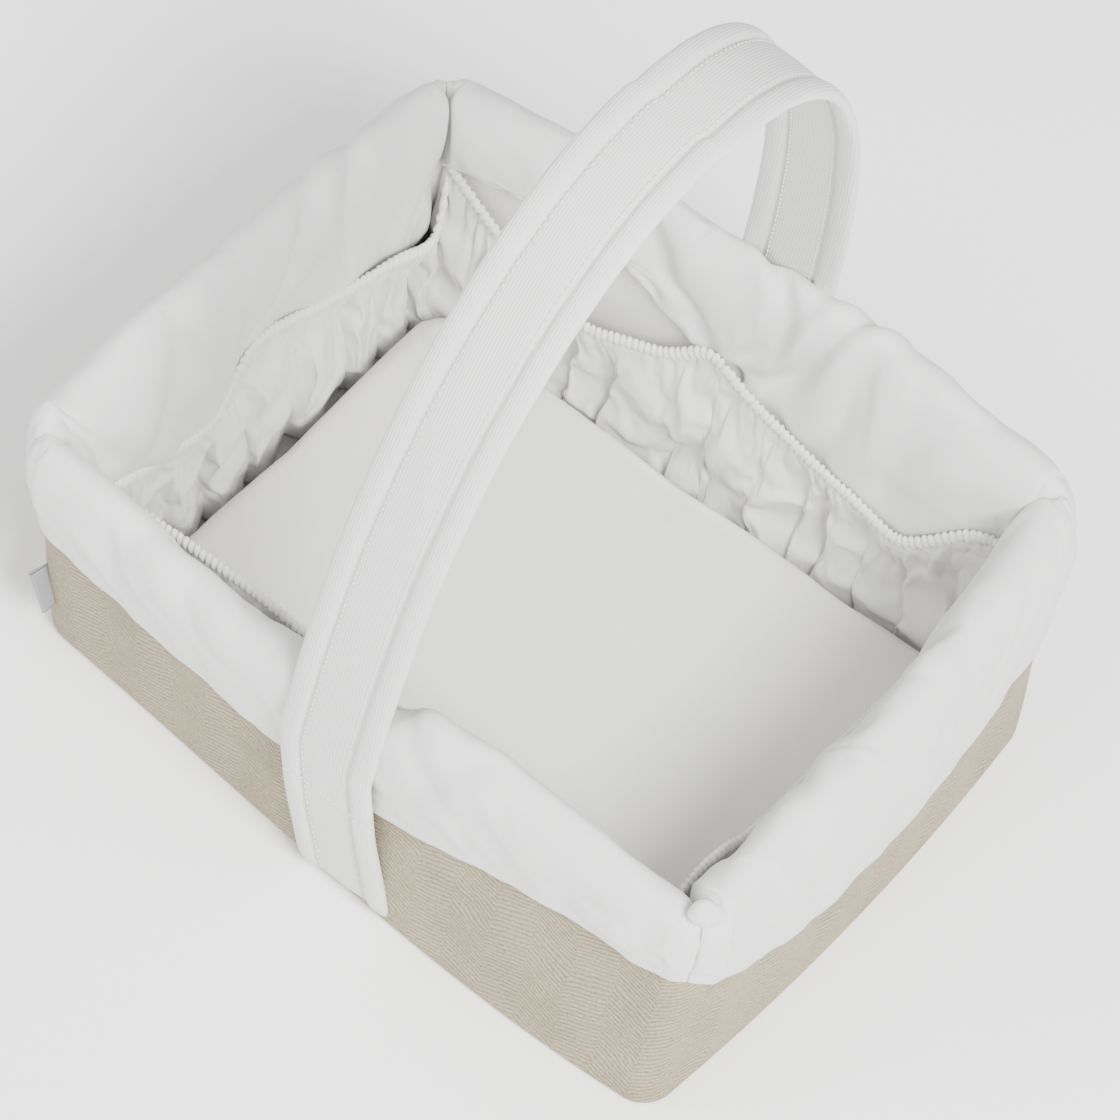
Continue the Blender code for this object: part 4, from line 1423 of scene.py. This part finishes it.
# Columns of the strap's arch and of each sewn foot, and the even step that they end up at
STRAP_COLUMNS = 300
FOOT_COLUMNS = 36
STRAP_STEP = 0.0026
# Rounds of smoothing along the strap
SMOOTH_ROUNDS = 6
# Power that fills out the arch between an oval and a box
ARCH_FULLNESS = 2 / 2.25
# How far the front foot runs to the right toward the base, and how far that half stands to the left
FOOT_SLANT = 0.0120
FOOT_SHIFT = 0.0013
# How far the feet tuck in under the base, and over what height
FOOT_TUCK = 0.0060
TUCK_HEIGHT = 0.011
# Half of the strap's section: place across it and height over its middle, as shares of its halves
PROFILE = (
    (-1.0, 0.0), (-0.98, 0.55), (-0.92, 0.90), (-0.80, 1.08), (-0.68, 1.02), (-0.60, 0.80), (-0.555, 0.16),
    (-0.51, 0.06), (-0.46, 0.46), (-0.38, 0.54), (-0.2, 0.58), (0.0, 0.60), (0.2, 0.58), (0.38, 0.54),
    (0.46, 0.46), (0.51, 0.06), (0.555, 0.16), (0.60, 0.80), (0.68, 1.02), (0.80, 1.08), (0.92, 0.90),
    (0.98, 0.55), (1.0, 0.0),
)
# Share across the strap where its long rows of stitches run
STITCH_LINE = 0.455
STITCH_THICKNESS = 0.00075
# The row of stitches across each foot: its distance from the strap's end, and its reach
FOOT_ROW = 0.064
FOOT_ROW_REACH = 0.94
FOOT_STITCH_THICKNESS = 0.0007


def strap_line():
    """Middle line of the strap from the front of the base over the arch to the back of the base,
    as (y, z) points with their distance along it, before its lean."""
    strap = settings().strap
    foot_top = HINGE_HEIGHT - strap.width / 2

    def foot(side, share):
        height = foot_top * share
        linen = abs(settle(side_point(side, 0, 0, height)).y)
        reach = mix(linen + strap.edge / 2 + 0.0004, strap.half_span, ease(share) ** 1.3)
        tuck = FOOT_TUCK * clamp(1 - height / TUCK_HEIGHT) ** 2
        return reach - tuck, 0.0014 + height

    points = []
    for column in range(FOOT_COLUMNS):
        reach, height = foot("front", column / FOOT_COLUMNS)
        points.append((-reach, height))
    for column in range(STRAP_COLUMNS + 1):
        angle = pi * column / STRAP_COLUMNS
        across = -copysign(abs(cos(angle)) ** ARCH_FULLNESS, cos(angle)) * strap.half_span
        rise = abs(sin(angle)) ** ARCH_FULLNESS * strap.rise if 0 < column < STRAP_COLUMNS else 0.0
        points.append((across, HINGE_HEIGHT + rise))
    points.insert(FOOT_COLUMNS, (-strap.half_span, foot_top + strap.width / 4))
    points.append((strap.half_span, foot_top + strap.width / 4))
    points += [foot("back", column / FOOT_COLUMNS) for column in reversed(range(FOOT_COLUMNS))]
    return even_points(points, STRAP_STEP)


def even_points(points, step):
    """The same line with evenly spaced points, each with its distance along the line."""
    lengths = [0.0]
    for (y, z), (next_y, next_z) in zip(points, points[1:]):
        lengths.append(lengths[-1] + hypot(next_y - y, next_z - z))
    count = ceil(lengths[-1] / step)
    spaced = []
    index = 0
    for number in range(count + 1):
        wanted = lengths[-1] * number / count
        while index < len(points) - 2 and lengths[index + 1] < wanted:
            index += 1
        span = lengths[index + 1] - lengths[index]
        share = (wanted - lengths[index]) / span if span > 0 else 0.0
        spaced.append((
            mix(points[index][0], points[index + 1][0], share),
            mix(points[index][1], points[index + 1][1], share),
            wanted,
        ))
    return spaced


def strap_frames():
    """Middle, facing and distance of the strap at even steps, smoothed."""
    line = strap_line()
    for _ in range(SMOOTH_ROUNDS):
        smooth = [line[0]]
        for before, here, after in zip(line, line[1:], line[2:]):
            smooth.append((
                (before[0] + 2 * here[0] + after[0]) / 4,
                (before[1] + 2 * here[1] + after[1]) / 4,
                here[2],
            ))
        line = smooth + [line[-1]]
    frames = []
    for index, (y, z, distance) in enumerate(line):
        before = line[max(index - 1, 0)]
        after = line[min(index + 1, len(line) - 1)]
        run, rise = after[0] - before[0], after[1] - before[1]
        length = hypot(run, rise)
        frames.append((y, z, -rise / length, run / length, distance))
    return frames


def lean_point(x, y, z):
    """Leans a point of the strap about the hinge line, only above its sewn feet."""
    strap = settings().strap
    angle = strap.lean * ease((z - (HINGE_HEIGHT - strap.width / 2)) / strap.width)
    rise = z - HINGE_HEIGHT
    x += FOOT_SLANT * clamp(1 - z / HINGE_HEIGHT) - FOOT_SHIFT if y < 0 else 0.0
    return Vector((x * cos(angle) + rise * sin(angle), y, HINGE_HEIGHT - x * sin(angle) + rise * cos(angle)))


def strap_surface(frames, column, across_share, out_share):
    """Point on the strap. out_share is 1 on its outer face and -1 on its inner one."""
    strap = settings().strap
    y, z, face_y, face_z, distance = frames[column]
    wobble = 0.0004 * rough(distance * 26, 1.5) * (1 if across_share > 0 else -1)
    half = strap.width / 2 + wobble
    pucker = 0.00016 * sin(2 * pi * distance / strap.stitch_pitch) * hill(abs(across_share) - 0.60, 0.09)
    out = out_share * (strap.edge / 2 + pucker) + 0.0006 * (1 - across_share ** 2)
    return lean_point(across_share * half, y + face_y * out, max(z + face_z * out, FIT_GAP))


def make_strap():
    """Makes the handle strap, one piece from base to base, with padded folded edges."""
    frames = strap_frames()
    loop = [*PROFILE, *((place, -height) for place, height in reversed(PROFILE[1:-1]))]
    rows = len(loop)

    def place(column, row):
        across_share, height = loop[row % rows]
        return strap_surface(frames, column, across_share, height)

    def weave(column, row):
        return loop[row % rows][0] * settings().strap.width / 2, frames[column][4]

    shape = cloth_grid(len(frames) - 1, rows, place, weave)
    close_ends(shape)
    strap = add_piece("handle_strap", shape, "strap_twill")
    round_off(strap)
    return strap


def add_stitch(shape, start, end, outward, thickness):
    """Adds one small rounded stitch between two points to a bmesh."""
    ahead = end - start
    made = bmesh.ops.create_icosphere(shape, subdivisions=1, radius=0.5)
    side = outward.cross(ahead).normalized()
    level = ahead.cross(side).normalized()
    turn = Matrix((ahead.normalized(), side, level)).transposed().to_4x4()
    size = Matrix.Diagonal((ahead.length * 1.1, thickness, thickness, 1))
    bmesh.ops.transform(shape, matrix=Matrix.Translation((start + end) / 2) @ turn @ size, verts=made["verts"])


def make_strap_stitches():
    """Makes the two rows of stitches on each face of the strap and the rows across its feet."""
    frames = strap_frames()
    strap = settings().strap
    shape = bmesh.new()
    total = frames[-1][4]
    count = int(total / strap.stitch_pitch)

    def on_strap(distance, across_share, out_share):
        exact = distance / total * (len(frames) - 1)
        index = min(int(exact), len(frames) - 2)
        first = strap_surface(frames, index, across_share, out_share)
        second = strap_surface(frames, index + 1, across_share, out_share)
        return first.lerp(second, exact - index)

    for face in (1, -1):
        for line in (-STITCH_LINE, STITCH_LINE):
            for number in range(1, count - 1):
                start = on_strap((number + 0.10) * strap.stitch_pitch, line, 0.50 * face)
                end = on_strap((number + 0.86) * strap.stitch_pitch, line, 0.50 * face)
                outward = on_strap((number + 0.5) * strap.stitch_pitch, line, 1.4 * face) - start
                add_stitch(shape, start, end, outward, STITCH_THICKNESS)
    crossing = int(strap.width * FOOT_ROW_REACH / strap.stitch_pitch)
    for row in (FOOT_ROW, total - FOOT_ROW):
        for number in range(crossing):
            first = mix(-FOOT_ROW_REACH, FOOT_ROW_REACH, (number + 0.15) / crossing)
            second = mix(-FOOT_ROW_REACH, FOOT_ROW_REACH, (number + 0.85) / crossing)
            start = on_strap(row, first, along_points(PROFILE, first) + 0.05)
            end = on_strap(row, second, along_points(PROFILE, second) + 0.05)
            outward = on_strap(row, first, 2.0) - start
            add_stitch(shape, start, end, outward, FOOT_STITCH_THICKNESS)
    return add_piece("handle_stitches", shape, "sewing_thread")


# Label tab

# Lower and upper end of the tab's root and of its outer fold, as it hangs
TAB_ROOT = (Vector((-0.1392, -0.1040, 0.0235)), Vector((-0.1450, -0.1035, 0.0400)))
TAB_OUTER = (Vector((-0.1407, -0.1115, 0.0215)), Vector((-0.1477, -0.1115, 0.0382)))
# Radius of the fold, and the share of the cloth that goes round it
TAB_FOLD = 0.0008
TAB_BEND = 0.16
TAB_THICKNESS = 0.0004


def make_label_tab():
    """Makes the blank folded tab beside the left front corner."""
    columns, rows = 26, 16
    beside = Vector((0.9, -0.35, 0.25)).normalized()

    def place(column, row):
        share = row / rows
        root = TAB_ROOT[0].lerp(TAB_ROOT[1], share)
        outer = TAB_OUTER[0].lerp(TAB_OUTER[1], share)
        reach = (outer - root).length
        turn = (column / columns - 0.5) * 2
        if abs(turn) < TAB_BEND:
            angle = turn / TAB_BEND * pi / 2
            out = reach - TAB_FOLD + TAB_FOLD * cos(angle)
            swing = TAB_FOLD * sin(angle)
        else:
            out = (reach - TAB_FOLD) * (1 - (abs(turn) - TAB_BEND) / (1 - TAB_BEND))
            swing = copysign(TAB_FOLD * (0.55 + 0.45 * (1 - abs(turn))), turn)
        curl = 0.0006 * sin(3.0 * share + 0.4) * (out / reach) ** 2
        return root + (outer - root).normalized() * out + beside * (swing + curl)

    def weave(column, row):
        return 0.02 * column / columns, 0.022 * row / rows

    shape = cloth_grid(columns, rows, place, weave)
    tab = add_piece("label_blank", shape, "blank_satin")
    thicken(tab, TAB_THICKNESS, 0.0)
    return tab


# Operators


class BASKET_OT_linen(bpy.types.Operator):
    """Make the herringbone linen body"""

    bl_idname = "basket.linen"
    bl_label = "Linen body"

    def execute(self, context):
        body = make_linen_body()
        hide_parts("linen_side_band")
        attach(body, "basket")
        panel = make_base_panel()
        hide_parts("linen_base_panel")
        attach(panel, "basket")
        return {"FINISHED"}


class BASKET_OT_lining(bpy.types.Operator):
    """Make the lining inside the walls"""

    bl_idname = "basket.lining"
    bl_label = "Lining"

    def execute(self, context):
        lining = make_lining()
        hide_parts("lining_walls", "lining_floor")
        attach(lining, "basket")
        for side in SIDES:
            board = make_wall_board(side)
            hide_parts("wall_board_" + side)
            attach(board, "basket")
        board = make_base_stiffener()
        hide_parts("base_board")
        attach(board, "basket")
        return {"FINISHED"}


class BASKET_OT_cuffs(bpy.types.Operator):
    """Make the padded cuff over the rim"""

    bl_idname = "basket.cuffs"
    bl_label = "Padded cuff"

    def execute(self, context):
        for side in SIDES:
            cuff = make_cuff(side)
            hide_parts("cuff_" + side, "rim_wadding_" + side)
            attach(cuff, "basket")
        fold = make_corner_fold()
        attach(fold, "basket")
        return {"FINISHED"}


class BASKET_OT_pockets(bpy.types.Operator):
    """Make the gathered pockets and their elastic edges"""

    bl_idname = "basket.pockets"
    bl_label = "Gathered pockets"

    def execute(self, context):
        for pocket in POCKETS:
            name = pocket[0]
            piece = make_pocket(pocket)
            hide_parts("pocket_" + name)
            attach(piece, "basket")
            elastic = make_elastic(pocket)
            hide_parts("elastic_hem_" + name)
            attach(elastic, "basket")
        return {"FINISHED"}


class BASKET_OT_floor_pad(bpy.types.Operator):
    """Make the loose floor pad"""

    bl_idname = "basket.floor_pad"
    bl_label = "Floor pad"

    def execute(self, context):
        pad = make_floor_pad()
        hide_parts("floor_pad_cushion")
        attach(pad, "floor_pad")
        return {"FINISHED"}


class BASKET_OT_handle(bpy.types.Operator):
    """Make the webbing handle and its stitches"""

    bl_idname = "basket.handle"
    bl_label = "Handle"

    def execute(self, context):
        strap = make_strap()
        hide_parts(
            "handle_webbing", "handle_outer_face", "handle_inner_face", "handle_end_front",
            "handle_end_back",
        )
        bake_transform(strap)
        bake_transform(make_strap_stitches())
        return {"FINISHED"}


class BASKET_OT_label_tab(bpy.types.Operator):
    """Make the blank folded tab"""

    bl_idname = "basket.label_tab"
    bl_label = "Label tab"

    def execute(self, context):
        tab = make_label_tab()
        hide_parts("label_tab")
        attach(tab, "basket")
        return {"FINISHED"}


# Where the camera and the lights are aimed
STAGE_MIDDLE = Vector((0, 0, 0.06))
LIGHT_AIM = Vector((0, 0, 0.05))
# Name, place, size and power of each light
LIGHTS = (
    ("key_light", (1.6, -0.85, 2.05), 1.1, 168),
    ("fill_light", (-1.5, -1.4, 1.6), 1.4, 34),
)
# Strength of the pale sky, the two shades of the floor, and the camera's sensor in millimetres
DAYLIGHT = 1.04
FLOOR_SHADES = ((0.96, 0.96, 0.96, 1), (0.98, 0.98, 0.98, 1))
SENSOR = 36


class BASKET_OT_stage(bpy.types.Operator):
    """Set up the floor, the light and the camera"""

    bl_idname = "basket.stage"
    bl_label = "Stage"

    def execute(self, context):
        make_floor()
        make_lights()
        make_camera()
        return {"FINISHED"}


def make_floor():
    """Makes the pale floor."""
    shape = bmesh.new()
    bmesh.ops.create_grid(shape, x_segments=2, y_segments=2, size=6)
    bmesh.ops.translate(shape, verts=shape.verts, vec=(0, 0, -0.0002))
    mesh = bpy.data.meshes.new("studio_floor")
    shape.to_mesh(mesh)
    shape.free()
    material = bpy.data.materials.new("studio_floor")
    material.use_nodes = True
    tree = material.node_tree
    shader = tree.nodes["Principled BSDF"]
    shader.inputs["Roughness"].default_value = 0.9
    grain = noise_node(tree, object_vector(tree), 3.0, 2.0)
    tree.links.new(blend_colours(tree, grain, *FLOOR_SHADES), shader.inputs["Base Color"])
    mesh.materials.append(material)
    floor = bpy.data.objects.new("studio_floor", mesh)
    bpy.context.collection.objects.link(floor)


def make_lights():
    """Makes the soft studio light: a pale sky and round area lights."""
    world = bpy.data.worlds.new("studio")
    bpy.context.scene.world = world
    world.use_nodes = True
    background = world.node_tree.nodes["Background"]
    background.inputs["Color"].default_value = (1.0, 1.0, 1.0, 1)
    background.inputs["Strength"].default_value = DAYLIGHT
    for name, place, size, power in LIGHTS:
        light = bpy.data.lights.new(name, "AREA")
        light.shape = "DISK"
        light.size = size
        light.energy = power
        lamp = bpy.data.objects.new(name, light)
        bpy.context.collection.objects.link(lamp)
        lamp.location = place
        lamp.rotation_euler = (LIGHT_AIM - Vector(place)).to_track_quat("-Z", "Y").to_euler()


def make_camera():
    """Makes the camera at the photograph's angle."""
    stage = settings().stage
    data = bpy.data.cameras.new("photo_camera")
    camera = bpy.data.objects.new("photo_camera", data)
    bpy.context.collection.objects.link(camera)
    data.sensor_fit = "HORIZONTAL"
    data.sensor_width = SENSOR
    data.lens = SENSOR * stage.focal
    data.shift_x = stage.shift_x
    data.shift_y = stage.shift_y
    data.clip_start = 0.05
    data.clip_end = 60
    azimuth, elevation, roll = stage.azimuth, stage.elevation, stage.roll
    back = Vector((sin(azimuth) * cos(elevation), -cos(azimuth) * cos(elevation), sin(elevation)))
    right = Vector((cos(azimuth), sin(azimuth), 0))
    up = back.cross(right)
    rolled_right = right * cos(roll) + up * sin(roll)
    rolled_up = up * cos(roll) - right * sin(roll)
    turn = Matrix((rolled_right, rolled_up, back)).transposed()
    camera.matrix_world = Matrix.Translation(STAGE_MIDDLE + back * stage.distance) @ turn.to_4x4()
    bpy.context.scene.camera = camera


class BASKET_PT_panel(bpy.types.Panel):
    """Lists the basket's pieces in the sidebar"""

    bl_idname = "BASKET_PT_panel"
    bl_label = "Layette basket"
    bl_space_type = "VIEW_3D"
    bl_region_type = "UI"
    bl_category = "Basket"

    def draw(self, context):
        for operator in OPERATORS:
            self.layout.operator(operator.bl_idname)
        for part in ("body", "cuff", "pocket", "pad", "strap", "finish", "stage"):
            group = getattr(context.scene.basket, part)
            box = self.layout.box()
            for name in type(group).__annotations__:
                box.prop(group, name)


GROUPS = (
    BodySizes, CuffSizes, PocketSizes, PadSizes, StrapSizes, Finishes, StageSettings, BasketSettings,
)
OPERATORS = (
    BASKET_OT_stage,
    BASKET_OT_linen,
    BASKET_OT_lining,
    BASKET_OT_cuffs,
    BASKET_OT_pockets,
    BASKET_OT_floor_pad,
    BASKET_OT_handle,
    BASKET_OT_label_tab,
)


def register():
    """Registers the settings, the operators and the panel."""
    for item in (*GROUPS, *OPERATORS, BASKET_PT_panel):
        bpy.utils.register_class(item)
    bpy.types.Scene.basket = PointerProperty(type=BasketSettings)


def unregister():
    """Takes everything that register added out again."""
    del bpy.types.Scene.basket
    for item in reversed((*GROUPS, *OPERATORS, BASKET_PT_panel)):
        bpy.utils.unregister_class(item)


def main():
    """Dresses the whole basket."""
    register()
    bpy.ops.basket.stage()
    bpy.ops.basket.linen()
    bpy.ops.basket.lining()
    bpy.ops.basket.cuffs()
    bpy.ops.basket.pockets()
    bpy.ops.basket.floor_pad()
    bpy.ops.basket.handle()
    bpy.ops.basket.label_tab()


if __name__ == "__main__":
    main()
